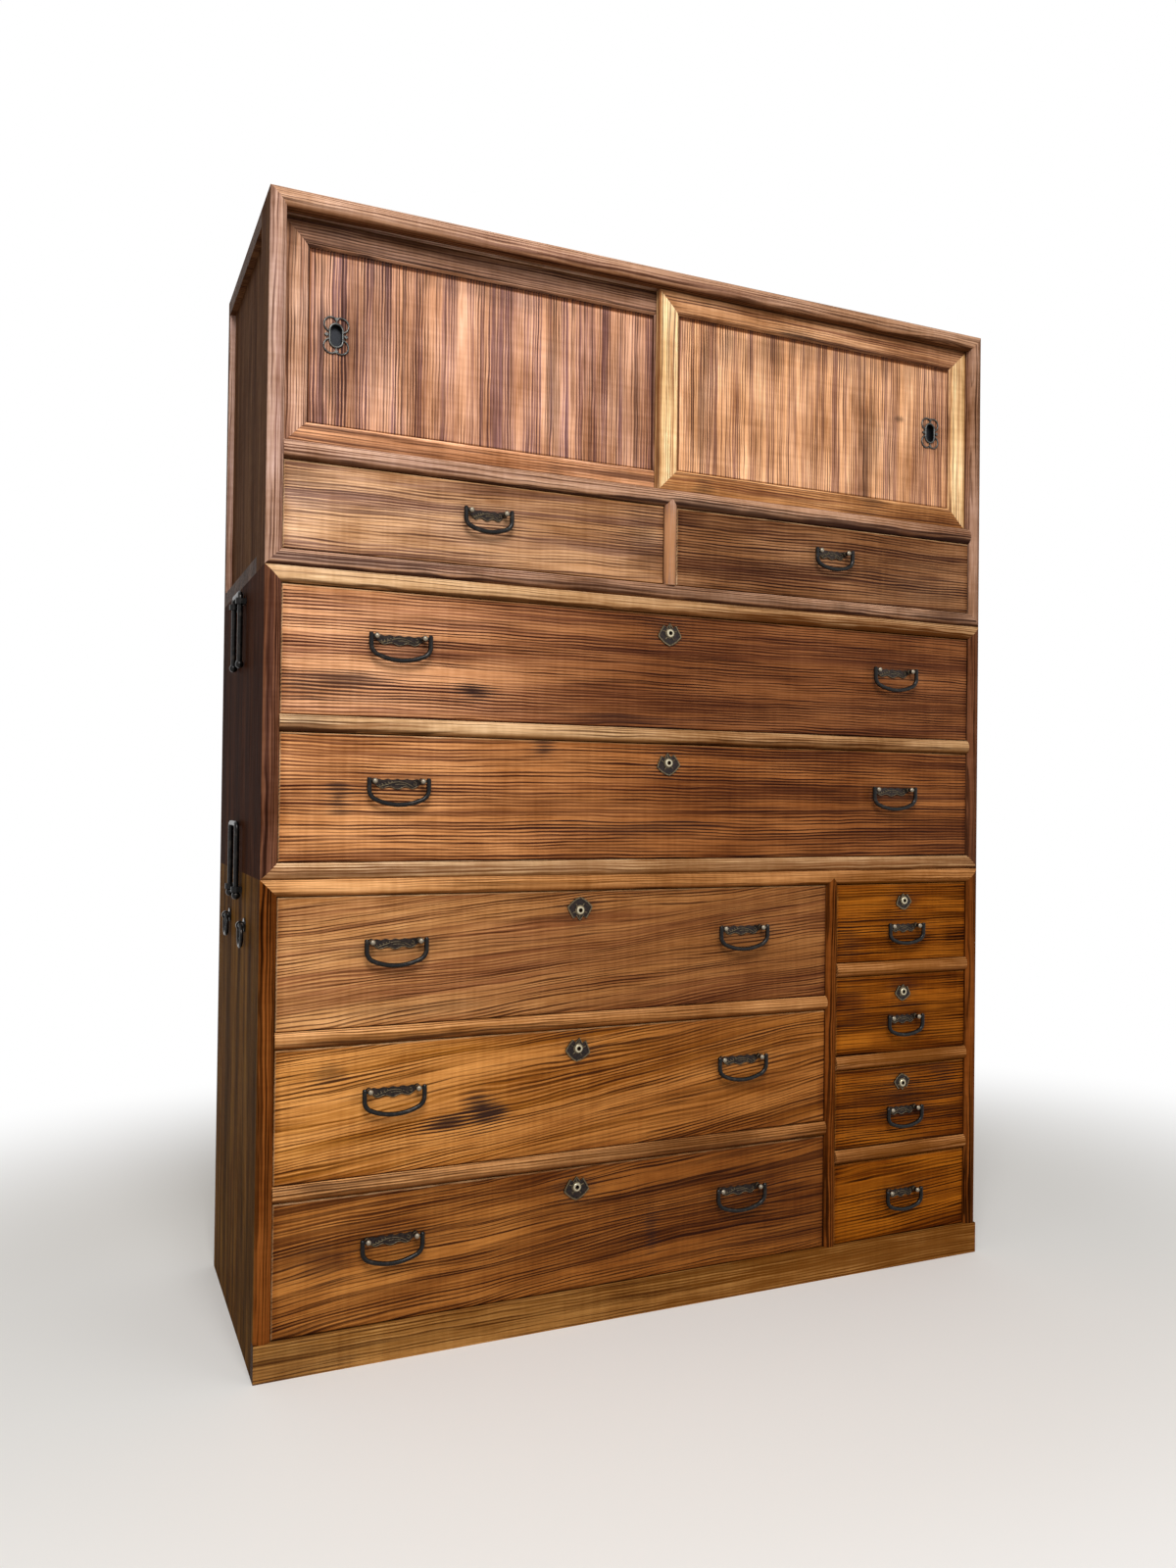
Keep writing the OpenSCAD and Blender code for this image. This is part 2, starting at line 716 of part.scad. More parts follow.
module bail(open, x, w, h, r, bow, drop) {
    color(IRON) translate([x, front_y + face_back - bail_reach, open[3] - drop]) bail_form(w, h, r, bow);
}

module large_bail(open, i) {
    bail(open, pair_x(open)[i], large_bail_w, large_bail_h, large_bail_bend, large_bail_bow, large_bail_drop);
}

module small_bail(open, drop) {
    bail(open, single_x(open)[0], small_bail_w, small_bail_h, small_bail_bend, small_bail_bow, drop);
}

// Half of the width of a closed door, and the left edge of the left door
door_w = (inner_r - inner_l - 2*close_gap + door_frame_w)/2;
door_l = inner_l + close_gap;
rear_door_y = door_back + door_t + door_gap;
cup_w = rim_w - rim_rod - 1;
cup_h = rim_h - rim_rod - 1;
door_low = door_z + shoulder_gap;
door_high = top_z - shoulder_gap;
pull_z = (door_low + door_high)/2 + pull_rise;

// Section of a frame member: width from the outer edge along X, depth along Y
module frame_section() {
    flat_w = door_frame_w - bead_w;
    polygon([[0, 0], [flat_w, 0], [flat_w, bead_step], [flat_w + bead_w*0.4, bead_step],
        [door_frame_w, panel_back - 1.6], [door_frame_w, panel_back], [flat_w, panel_back],
        [flat_w, panel_back + panel_t], [door_frame_w, panel_back + panel_t], [door_frame_w, door_t],
        [0, door_t]]);
}

// Left door at depth y: four mitred frame members, tongues and panel, with a hole for the pull
module door(y) {
    right = door_l + door_w;
    w = door_frame_w;
    bare = w - bead_w + joint_gap;
    mitre = joint_gap*sqrt(2);
    module stile() {
        intersection() {
            upward(door_low, door_high) translate([door_l, 0]) frame_section();
            from_front(0, door_t) polygon([[door_l, door_low], [door_l, door_high],
                [door_l + w, door_high - w], [door_l + w, door_low + w]]);
        }
    }
    module lower_rail() {
        intersection() {
            along_x(door_l, right) translate([0, door_low]) mirror([1, -1]) frame_section();
            from_front(0, door_t) polygon([[door_l + mitre, door_low], [right - mitre, door_low],
                [right - w - mitre, door_low + w], [door_l + w + mitre, door_low + w]]);
        }
    }
    color(WOOD) translate([0, front_y + y, 0]) {
        stile();
        translate([door_l + right, 0, 0]) mirror([1, 0, 0]) stile();
        lower_rail();
        block([door_l + mitre, door_t - tongue_t, door_z - lower_track + run_gap],
            [right - mitre, door_t, door_low]);
        translate([0, 0, door_low + door_high]) mirror([0, 0, 1]) lower_rail();
        block([door_l + mitre, door_t - tongue_t, door_high],
            [right - mitre, door_t, top_z + upper_track - lower_track - 1]);
        difference() {
            block([door_l + bare, panel_back + joint_gap, door_low + bare],
                [right - bare, panel_back + panel_t - joint_gap, door_high - bare]);
            translate([door_l + pull_inset, panel_back, pull_z]) from_front(-1, panel_t + 1)
                oval(cup_w + 2*cup_gap, cup_h + 2*cup_gap);
        }
    }
}

// Round-ended oval of width w and height h
module oval(w, h) {
    square([w, h - w], center = true);
    for (s = [-1, 1]) translate([0, s*(h - w)/2]) circle(d = w);
}

// Rod bent to a round-ended oval, lying in the plane of X and Z
module oval_rod(w, h, rod) {
    straight = h - w;
    for (s = [-1, 1]) {
        bend(0, s*straight/2, w/2, rod, s > 0 ? 0 : 180, s > 0 ? 180 : 360);
        translate([s*w/2, 0, -straight/2]) cylinder(d = rod, h = straight);
    }
}

// Recessed pull at the face of a door panel: cup, oval rim, four lobes and four diamonds
module pull_form() {
    $fn = 28;
    ring_w = rim_w - rim_rod;
    ring_h = rim_h - rim_rod;
    lobe_x = (pull_w - lobe_rod)/2 - lobe_r;
    lobe_z = (pull_h - lobe_rod)/2 - lobe_r;
    lobe_end = ring_w/2 + rim_rod*0.3;
    cusp_z = lobe_z + sqrt(lobe_r*lobe_r - lobe_x*lobe_x);
    diamond_d = diamond_w*sqrt(2);
    difference() {
        from_front(-rim_rod/3, cup_depth) oval(cup_w, cup_h);
        from_front(-rim_rod, cup_depth - cup_wall) oval(cup_w - 2*cup_wall, cup_h - 2*cup_wall);
    }
    translate([0, -rim_rod/2, 0]) oval_rod(ring_w, ring_h, rim_rod);
    for (side = [0, 1], end = [0, 1]) mirror([side, 0, 0]) mirror([0, 0, end]) translate([0, -lobe_rod/2, 0])
        bend(lobe_x, lobe_z, lobe_r, lobe_rod, -acos((lobe_end - lobe_x)/lobe_r), 180 - acos(lobe_x/lobe_r));
    for (s = [-1, 1]) {
        from_front(-lobe_rod - 0.4, -0.3) {
            translate([0, s*cusp_z]) rotate(45) square(diamond_w, center = true);
            translate([s*(rim_w + diamond_d)/2, 0]) rotate(45) square(diamond_w, center = true);
        }
        from_front(-lobe_rod + 0.4, -0.7) {
            translate([s*(ring_w/2 + diamond_d/4), 0]) square([rim_rod + diamond_d/2, 1.6], center = true);
            translate([0, s*(ring_h/2 + cusp_z)/2]) square([1.6, cusp_z - ring_h/2], center = true);
        }
    }
}

module left_pull(y) {
    color(PEWTER) translate([door_l + pull_inset, front_y + y + panel_back, pull_z]) pull_form();
}

// Carrying loop on the left side, with its crossbar at the height z
module loop(z) {
    x = -case_w/2 - loop_out;
    half = loop_w/2;
    color(IRON) translate([x, front_y + loop_back, z]) rotate([0, 0, 90]) {
        rotate([0, 90, 0]) translate([0, 0, -half + loop_bend]) cylinder(d = loop_rod, h = loop_w - 2*loop_bend);
        bend(half - loop_bend, -loop_bend, loop_bend, loop_rod, 0, 90);
        bend(loop_bend - half, -loop_bend, loop_bend, loop_rod, 90, 180);
        for (s = [-1, 1]) translate([s*half, 0, -loop_l]) {
            cylinder(d = loop_rod, h = loop_l - loop_bend);
            sphere(d = knob_d);
        }
    }
}

// Height of the crossbar of a loop that rests on its eyes, and of one that is drawn up to its knobs
function loop_down(top) = top - eye_drop + loop_bend + stop_gap;
function loop_up(top) = top - eye_drop - eye_h - stop_gap
    - sqrt(pow(knob_d/2, 2) - pow(loop_rod/2 + eye_gap, 2)) + loop_l;

// The two eyes on the left side that the arms of a loop slide in
module loop_eyes(top) {
    z = top - eye_drop - eye_h;
    r = loop_rod/2 + eye_gap;
    for (s = [-1, 1]) translate([-case_w/2 - loop_out, loop_back + s*loop_w/2, z]) difference() {
        union() {
            intersection() {
                cylinder(r = r + eye_wall, h = eye_h);
                block([-r - eye_wall - 1, -r - eye_wall - 1, -1], [loop_out - 1, r + eye_wall + 1, eye_h + 1]);
            }
            block([0, -r - eye_wall, 0], [loop_out, r + eye_wall, eye_h]);
            block([loop_out - 1.5, -r - eye_wall - 7, 0], [loop_out, r + eye_wall + 7, eye_h]);
        }
        translate([0, 0, -1]) cylinder(r = r, h = eye_h + 2);
    }
}

// Ear for one ring on the left side, at depth y
module ring_ear(y) {
    r = ring_rod/2 + ear_gap;
    translate([-case_w/2 - ring_out, y, lower_h - ring_drop]) difference() {
        union() {
            rotate([90, 0, 0]) translate([0, 0, -ear_t/2]) cylinder(r = r + 2.5, h = ear_t);
            block([0, -ear_t/2, -r - 1], [ring_out, ear_t/2, r + 1]);
            translate([ring_out - 2, 0, 0]) rotate([0, 90, 0]) cylinder(d = 20, h = 2);
        }
        rotate([90, 0, 0]) translate([0, 0, -ear_t/2 - 1]) cylinder(r = r, h = ear_t + 2);
    }
}

// Ring on the left side, hanging from its ear at depth y
module ring(y) {
    color(IRON) translate([-case_w/2 - ring_out, front_y + y, lower_h - ring_drop - ring_r])
        rotate([0, 90, 0]) rotate_extrude() translate([ring_r, 0]) circle(d = ring_rod);
}

module middle_eyes() {
    color(IRON) translate([0, front_y, 0]) both_sides() loop_eyes(upper_z);
}

module lower_eyes() {
    color(IRON) translate([0, front_y, 0]) both_sides() {
        loop_eyes(lower_h);
        for (s = [-1, 1]) ring_ear(loop_back + s*ring_spread);
    }
}

plinth();
lower_uprights();
lower_boards();
lower_eyes();
middle_uprights();
middle_boards();
middle_eyes();
upper_uprights();
upper_boards();
wide_drawer(wide_open(2));  // wide_drawer_1
wide_drawer(wide_open(1));  // wide_drawer_2
wide_drawer(wide_open(0));  // wide_drawer_3
small_drawer(small_open(3), small_bail_drop, true);  // small_drawer_1
small_drawer(small_open(2), small_bail_drop, true);  // small_drawer_2
small_drawer(small_open(1), small_bail_drop, true);  // small_drawer_3
small_drawer(small_open(0), plain_bail_drop, false);  // small_drawer_4
wide_drawer(middle_open(1));  // middle_drawer_1
wide_drawer(middle_open(0));  // middle_drawer_2
small_drawer(upper_open(0), upper_bail_drop, false);  // upper_drawer_left
small_drawer(upper_open(1), upper_bail_drop, false);  // upper_drawer_right
wide_fittings(wide_open(2), 180);  // wide_drawer_1_fittings
wide_fittings(wide_open(1), 8);  // wide_drawer_2_fittings
wide_fittings(wide_open(0), 0);  // wide_drawer_3_fittings
small_fittings(small_open(3), small_bail_drop, small_flower, -8);  // small_drawer_1_fittings
small_fittings(small_open(2), small_bail_drop, small_flower, 5);  // small_drawer_2_fittings
small_fittings(small_open(1), small_bail_drop, small_flower, 174);  // small_drawer_3_fittings
small_fittings(small_open(0), plain_bail_drop, 0);  // small_drawer_4_fittings
wide_fittings(middle_open(1), 0);  // middle_drawer_1_fittings
wide_fittings(middle_open(0), -6);  // middle_drawer_2_fittings
small_fittings(upper_open(0), upper_bail_drop, 0);  // upper_drawer_left_fittings
small_fittings(upper_open(1), upper_bail_drop, 0);  // upper_drawer_right_fittings
large_bail(wide_open(2), 0);  // wide_drawer_1_bail_left
large_bail(wide_open(2), 1);  // wide_drawer_1_bail_right
large_bail(wide_open(1), 0);  // wide_drawer_2_bail_left
large_bail(wide_open(1), 1);  // wide_drawer_2_bail_right
large_bail(wide_open(0), 0);  // wide_drawer_3_bail_left
large_bail(wide_open(0), 1);  // wide_drawer_3_bail_right
small_bail(small_open(3), small_bail_drop);  // small_drawer_1_bail
small_bail(small_open(2), small_bail_drop);  // small_drawer_2_bail
small_bail(small_open(1), small_bail_drop);  // small_drawer_3_bail
small_bail(small_open(0), plain_bail_drop);  // small_drawer_4_bail
large_bail(middle_open(1), 0);  // middle_drawer_1_bail_left
large_bail(middle_open(1), 1);  // middle_drawer_1_bail_right
large_bail(middle_open(0), 0);  // middle_drawer_2_bail_left
large_bail(middle_open(0), 1);  // middle_drawer_2_bail_right
small_bail(upper_open(0), upper_bail_drop);  // upper_drawer_left_bail
small_bail(upper_open(1), upper_bail_drop);  // upper_drawer_right_bail
door(rear_door_y);  // left_door
mirror([1, 0, 0]) door(door_back);  // right_door
left_pull(rear_door_y);  // left_door_pull
mirror([1, 0, 0]) left_pull(door_back);  // right_door_pull
loop(loop_down(upper_z));  // middle_loop_left
mirror([1, 0, 0]) loop(loop_down(upper_z));  // middle_loop_right
loop(loop_up(lower_h));  // lower_loop_left
mirror([1, 0, 0]) loop(loop_up(lower_h));  // lower_loop_right
ring(loop_back - ring_spread);  // ring_left_front
ring(loop_back + ring_spread);  // ring_left_rear
mirror([1, 0, 0]) ring(loop_back - ring_spread);  // ring_right_front
mirror([1, 0, 0]) ring(loop_back + ring_spread);  // ring_right_rear
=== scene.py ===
"""Looks of a kimono chest: oiled paulownia boards, black iron handles and small bronze plates.

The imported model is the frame. Its solids stay as they are and are given their wood and metal
here, and the raised work on the plates is added, one piece for each drawer.
"""

import logging
import math
from dataclasses import dataclass
from enum import Enum
from functools import partialmethod
from typing import Any, NamedTuple, Sequence

import bpy
from mathutils import Matrix, Vector

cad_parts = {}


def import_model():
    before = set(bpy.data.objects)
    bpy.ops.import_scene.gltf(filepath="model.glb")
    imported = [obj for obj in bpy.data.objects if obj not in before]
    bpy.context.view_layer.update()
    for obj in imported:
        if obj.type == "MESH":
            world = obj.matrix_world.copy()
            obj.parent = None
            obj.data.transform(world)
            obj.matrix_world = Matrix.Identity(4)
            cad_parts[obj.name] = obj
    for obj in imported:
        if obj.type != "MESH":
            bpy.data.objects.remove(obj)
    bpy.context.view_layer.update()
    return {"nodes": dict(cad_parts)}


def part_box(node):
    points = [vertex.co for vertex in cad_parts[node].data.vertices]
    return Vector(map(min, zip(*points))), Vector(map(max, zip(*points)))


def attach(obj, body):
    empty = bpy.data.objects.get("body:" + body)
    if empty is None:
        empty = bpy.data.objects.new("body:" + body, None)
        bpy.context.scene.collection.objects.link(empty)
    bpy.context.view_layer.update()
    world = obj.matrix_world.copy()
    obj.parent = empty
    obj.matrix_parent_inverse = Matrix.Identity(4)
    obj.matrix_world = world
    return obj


log = logging.getLogger("kimono_chest")

Tree = bpy.types.NodeTree
Socket = bpy.types.NodeSocket
Material = bpy.types.Material
Object = bpy.types.Object
Colour = tuple[float, float, float, float]

MM = 0.001
PHOTO_H = 1600
SENSOR_MM = 36.0


def linear(hex_colour: str) -> Colour:
    """Turns an sRGB hex colour to the linear values that a shader takes.

    Args:
        hex_colour: the colour, such as "#8a5a34".

    Returns:
        Red, green, blue and alpha.
    """
    digits = hex_colour.lstrip("#")
    channels = []
    for start in (0, 2, 4):
        value = int(digits[start:start + 2], 16) / 255
        channels.append(value / 12.92 if value <= 0.04045 else ((value + 0.055) / 1.055) ** 2.4)
    return channels[0], channels[1], channels[2], 1.0


def feed(tree: Tree, socket: Socket, value: Any) -> None:
    """Links an input to the value or socket that feeds it, or sets it to a plain number or colour.

    Args:
        tree: the tree of the node.
        socket: the node's input.
        value: what feeds it.
    """
    source = value.socket if isinstance(value, Value) else value
    if isinstance(source, Socket):
        tree.links.new(source, socket)
    else:
        socket.default_value = source


def add_node(tree: Tree, kind: str, inputs: dict[Any, Any] | None = None, **settings: Any) -> bpy.types.Node:
    """Adds a node, sets its properties and fills or links its inputs.

    Args:
        tree: the tree that gets the node.
        kind: the node's type name.
        inputs: input name or index to a number, a colour, or the value or socket that feeds it.
        settings: the node's own properties.

    Returns:
        The new node.
    """
    node = tree.nodes.new(kind)
    for name, value in settings.items():
        setattr(node, name, value)
    for key, value in (inputs or {}).items():
        feed(tree, node.inputs[key], value)
    return node


class Value:
    """A number that a node tree works out, so that each step of a formula with it is a Math node."""

    def __init__(self, tree: Tree, socket: Socket) -> None:
        """Holds the tree and the socket that gives the number."""
        self.tree = tree
        self.socket = socket

    def step(self, operation: str, *others: Any) -> "Value":
        """Puts the value, and any others after it, through one Math node."""
        node = add_node(self.tree, "ShaderNodeMath", dict(enumerate((self, *others))), operation=operation)
        return Value(self.tree, node.outputs[0])

    def __rsub__(self, other: float) -> "Value":
        """Takes the value away from a number."""
        return self.step("MULTIPLY", -1.0).step("ADD", other)

    __add__ = partialmethod(step, "ADD")
    __sub__ = partialmethod(step, "SUBTRACT")
    __mul__ = partialmethod(step, "MULTIPLY")
    __truediv__ = partialmethod(step, "DIVIDE")
    __pow__ = partialmethod(step, "POWER")
    __abs__ = partialmethod(step, "ABSOLUTE")
    __lt__ = partialmethod(step, "LESS_THAN")
    __gt__ = partialmethod(step, "GREATER_THAN")
    least = partialmethod(step, "MINIMUM")
    most = partialmethod(step, "MAXIMUM")


def between(value: Value, low: float, high: float) -> Value:
    """Maps a value smoothly to the range from 0 to 1.

    Args:
        value: the value.
        low: where the result is 0.
        high: where the result is 1, which may lie below low.

    Returns:
        The result.
    """
    node = add_node(value.tree, "ShaderNodeMapRange", {"Value": value, "From Min": low, "From Max": high},
                    interpolation_type="SMOOTHSTEP")
    return Value(value.tree, node.outputs["Result"])


class Band(NamedTuple):
    """A soft step over a value: nothing at its start, its full strength at its end."""

    start: float
    end: float
    strength: float

    def over(self, value: Value) -> Value:
        """Draws the step over a value."""
        return between(value, self.start, self.end) * self.strength


def blend(factor: Value, first: Any, second: Any) -> Socket:
    """Mixes two colours by a factor."""
    mixed = add_node(factor.tree, "ShaderNodeMix", {0: factor, 6: first, 7: second}, data_type="RGBA")
    return mixed.outputs[2]


def filtered(tree: Tree, colour: Socket, factors: Sequence[Any]) -> Socket:
    """Multiplies red, green and blue by a factor each."""
    tint = add_node(tree, "ShaderNodeCombineXYZ", dict(enumerate(factors))).outputs[0]
    return add_node(tree, "ShaderNodeVectorMath", {0: colour, 1: tint}, operation="MULTIPLY").outputs[0]


def shaded(colour: Socket, shade: Value) -> Socket:
    """Makes a colour lighter or darker by a factor, deeper in hue where it is dark, as oil does."""
    return filtered(shade.tree, colour, (shade, shade ** 1.3, shade ** 1.7))


class Cloud(NamedTuple):
    """The size of a noise's grains in millimetres, and how many finer layers are laid over them."""

    along: float
    across: float
    deep: float
    layers: float

    def over(self, along: Value, across: Value, depth: Value) -> Value:
        """Draws the noise.

        Args:
            along: place along the fibres, in millimetres.
            across: place across the fibres.
            depth: place from front to back.

        Returns:
            The noise, about 0.5 on average.
        """
        vector = add_node(along.tree, "ShaderNodeCombineXYZ", {
            0: along / self.along, 1: across / self.across, 2: depth / self.deep})
        grains = add_node(along.tree, "ShaderNodeTexNoise", {
            "Vector": vector.outputs[0], "Scale": 1.0, "Detail": self.layers, "Roughness": 0.55})
        return Value(along.tree, grains.outputs["Fac"])


class Surface:
    """A material in the making, with the places on its object in millimetres and the ways they face."""

    def __init__(self, name: str) -> None:
        """Makes an empty node material.

        Args:
            name: the material's name.
        """
        self.material = bpy.data.materials.new(name)
        self.material.use_nodes = True
        self.tree = self.material.node_tree
        self.tree.nodes.clear()
        self.shader = add_node(self.tree, "ShaderNodeBsdfPrincipled")
        self.output = add_node(self.tree, "ShaderNodeOutputMaterial", {"Surface": self.shader.outputs[0]})
        where = add_node(self.tree, "ShaderNodeTexCoord").outputs
        self.x, self.y, self.z = (metres * (1 / MM) for metres in self._parts(where["Object"]))
        self.aside, self.ahead, self.upward = self._parts(where["Normal"])

    def _parts(self, vector: Socket) -> list[Value]:
        """Splits a vector into its three numbers."""
        split = add_node(self.tree, "ShaderNodeSeparateXYZ", {0: vector})
        return [Value(self.tree, part) for part in split.outputs]

    def speckle(self, size_mm: float, layers: float) -> Value:
        """Draws noise with round grains."""
        return Cloud(size_mm, size_mm, size_mm, layers).over(self.x, self.y, self.z)

    def complete(self, inputs: dict[str, Any], height: Value, strength: float, depth_mm: float) -> Material:
        """Fills the shader's inputs and gives it a bump.

        Args:
            inputs: name of an input of the shader to a number, a colour, a value or a socket.
            height: what the bump follows.
            strength: how strong the bump is.
            depth_mm: how deep it is, in millimetres.

        Returns:
            The material.
        """
        bump = add_node(self.tree, "ShaderNodeBump", {
            "Strength": strength, "Distance": depth_mm * MM, "Height": height})
        for name, value in {**inputs, "Normal": bump.outputs[0]}.items():
            feed(self.tree, self.shader.inputs[name], value)
        return self.material


class Grain(Enum):
    """The axis that the fibres of a board run along."""

    LEVEL = "x"
    UPRIGHT = "z"


class Reach(Enum):
    """Which surfaces of a node took the oil and the dark stain."""

    FRONT = "front"
    OUTSIDE = "outside"
    ALL_OVER = "all over"


@dataclass(frozen=True)
class Face:
    """The outline of a front, in millimetres of the frame."""

    left: float
    right: float
    low: float
    high: float

    @classmethod
    def of(cls, node: str, foot: float = 0.0, head: float = 0.0) -> "Face":
        """Reads the outline of a node, less what is hidden of its foot and of its head, in millimetres."""
        low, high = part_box(node)
        return cls(low.x / MM, high.x / MM, low.z / MM + foot, high.z / MM - head)

    def from_sides(self, at: Surface) -> Value:
        """Measures how far a place is inside the nearer upright edge."""
        return (at.x - self.left).least(self.right - at.x)

    def from_ends(self, at: Surface) -> Value:
        """Measures how far a place is inside the nearer level edge."""
        return (at.z - self.low).least(self.high - at.z)


@dataclass(frozen=True)
class Mark:
    """A stain, a knot, a worn place or a change of tone: a soft-edged ellipse, in millimetres."""

    x: float
    z: float
    wide: float
    high: float
    strength: float = 0.5
    # A worn mark blends to the light tone, a dark one to its tone; some stand for painted highlight and
    # painted shade
    worn: bool = False
    tone: str = "#281815"

    def over(self, at: Surface, frayed: Value) -> Value:
        """Draws the mark.

        Args:
            at: the surface.
            frayed: noise that frays the mark's edge.

        Returns:
            The mark's strength from place to place.
        """
        out = (at.x - self.x) / (self.wide / 2)
        up = (at.z - self.z) / (self.high / 2)
        reach = (out * out + up * up).step("SQRT") + frayed * FRAY
        return between(reach, *MARK_EDGE) * self.strength


# Bends and kinks of the year rings, then groups of dark lines, clouds of tone, single fibres, and
# the narrow bands that lie across the board. Real fibres are under half a millimetre wide, so they
# are drawn a few times as coarse here, or they wouldn't show.
BENDS = Cloud(420, 90, 160, 1.5)
KINKS = Cloud(75, 18, 26, 1)
GROUPS = Cloud(170, 22, 60, 2)
PATCHES = Cloud(150, 46, 60, 2.5)
FIBRES = Cloud(38, 1.6, 1.2, 2)
RIBBONS = Cloud(120, 8, 40, 1)

# Which part of a noise is dark late wood, a pale ridge, a group of lines and a light zone
LATE_WOOD = (0.50, 0.37)
RIDGES = (0.56, 0.65)
GROUPED = (0.34, 0.60)
ZONES = (0.36, 0.64)

# How far kinks move a ring, how far noise moves a mark's edge, and how soft that edge is
KINK_MM = 4.0
FRAY = 1.6
MARK_EDGE = (1.95, 1.0)

# How much fibres and ribbons change a tone, and the darkest that a tone gets
FIBRE_SHADE = 0.8
RIBBON_SHADE = 0.30
DARKEST = 0.05

# How far patches move the edge of the painted edge shade and of the darkening to the right, in millimetres
EDGE_SHADE_WAVER_MM = 16.0
FALLOFF_WAVER_MM = 160.0

# Which way a surface looks, as the length of its normal along an axis
EASED = (0.35, 0.55)
FLAT_FRONT = (0.99, 0.85)
NOT_DOWN = (-0.15, 0.35)
ALONG_AXIS = (0.6, 0.9)

# Painted shade round a front and painted shadow in its lower and right joints, by the distance from the edge
EDGE_SHADE = Band(21.0, 6.0, 0.32)
GAP_SHADOW = Band(3.0, 0.8, 0.55)

# Painted highlight on the upper and the left edge of a front, where the light from the upper left falls
UPPER_HIGHLIGHT = Band(2.6, 1.2, 1.0)
LEFT_HIGHLIGHT = Band(2.2, 1.0, 0.7)

# Painted shadow on a door's panel under its top rail, beside its left stile, and along its other two members
HEAD_SHADOW = Band(7.5, 4.0, 0.84)
LEFT_SHADOW = Band(5.5, 2.5, 0.74)
OTHER_SHADOW = Band(3.5, 1.5, 0.60)


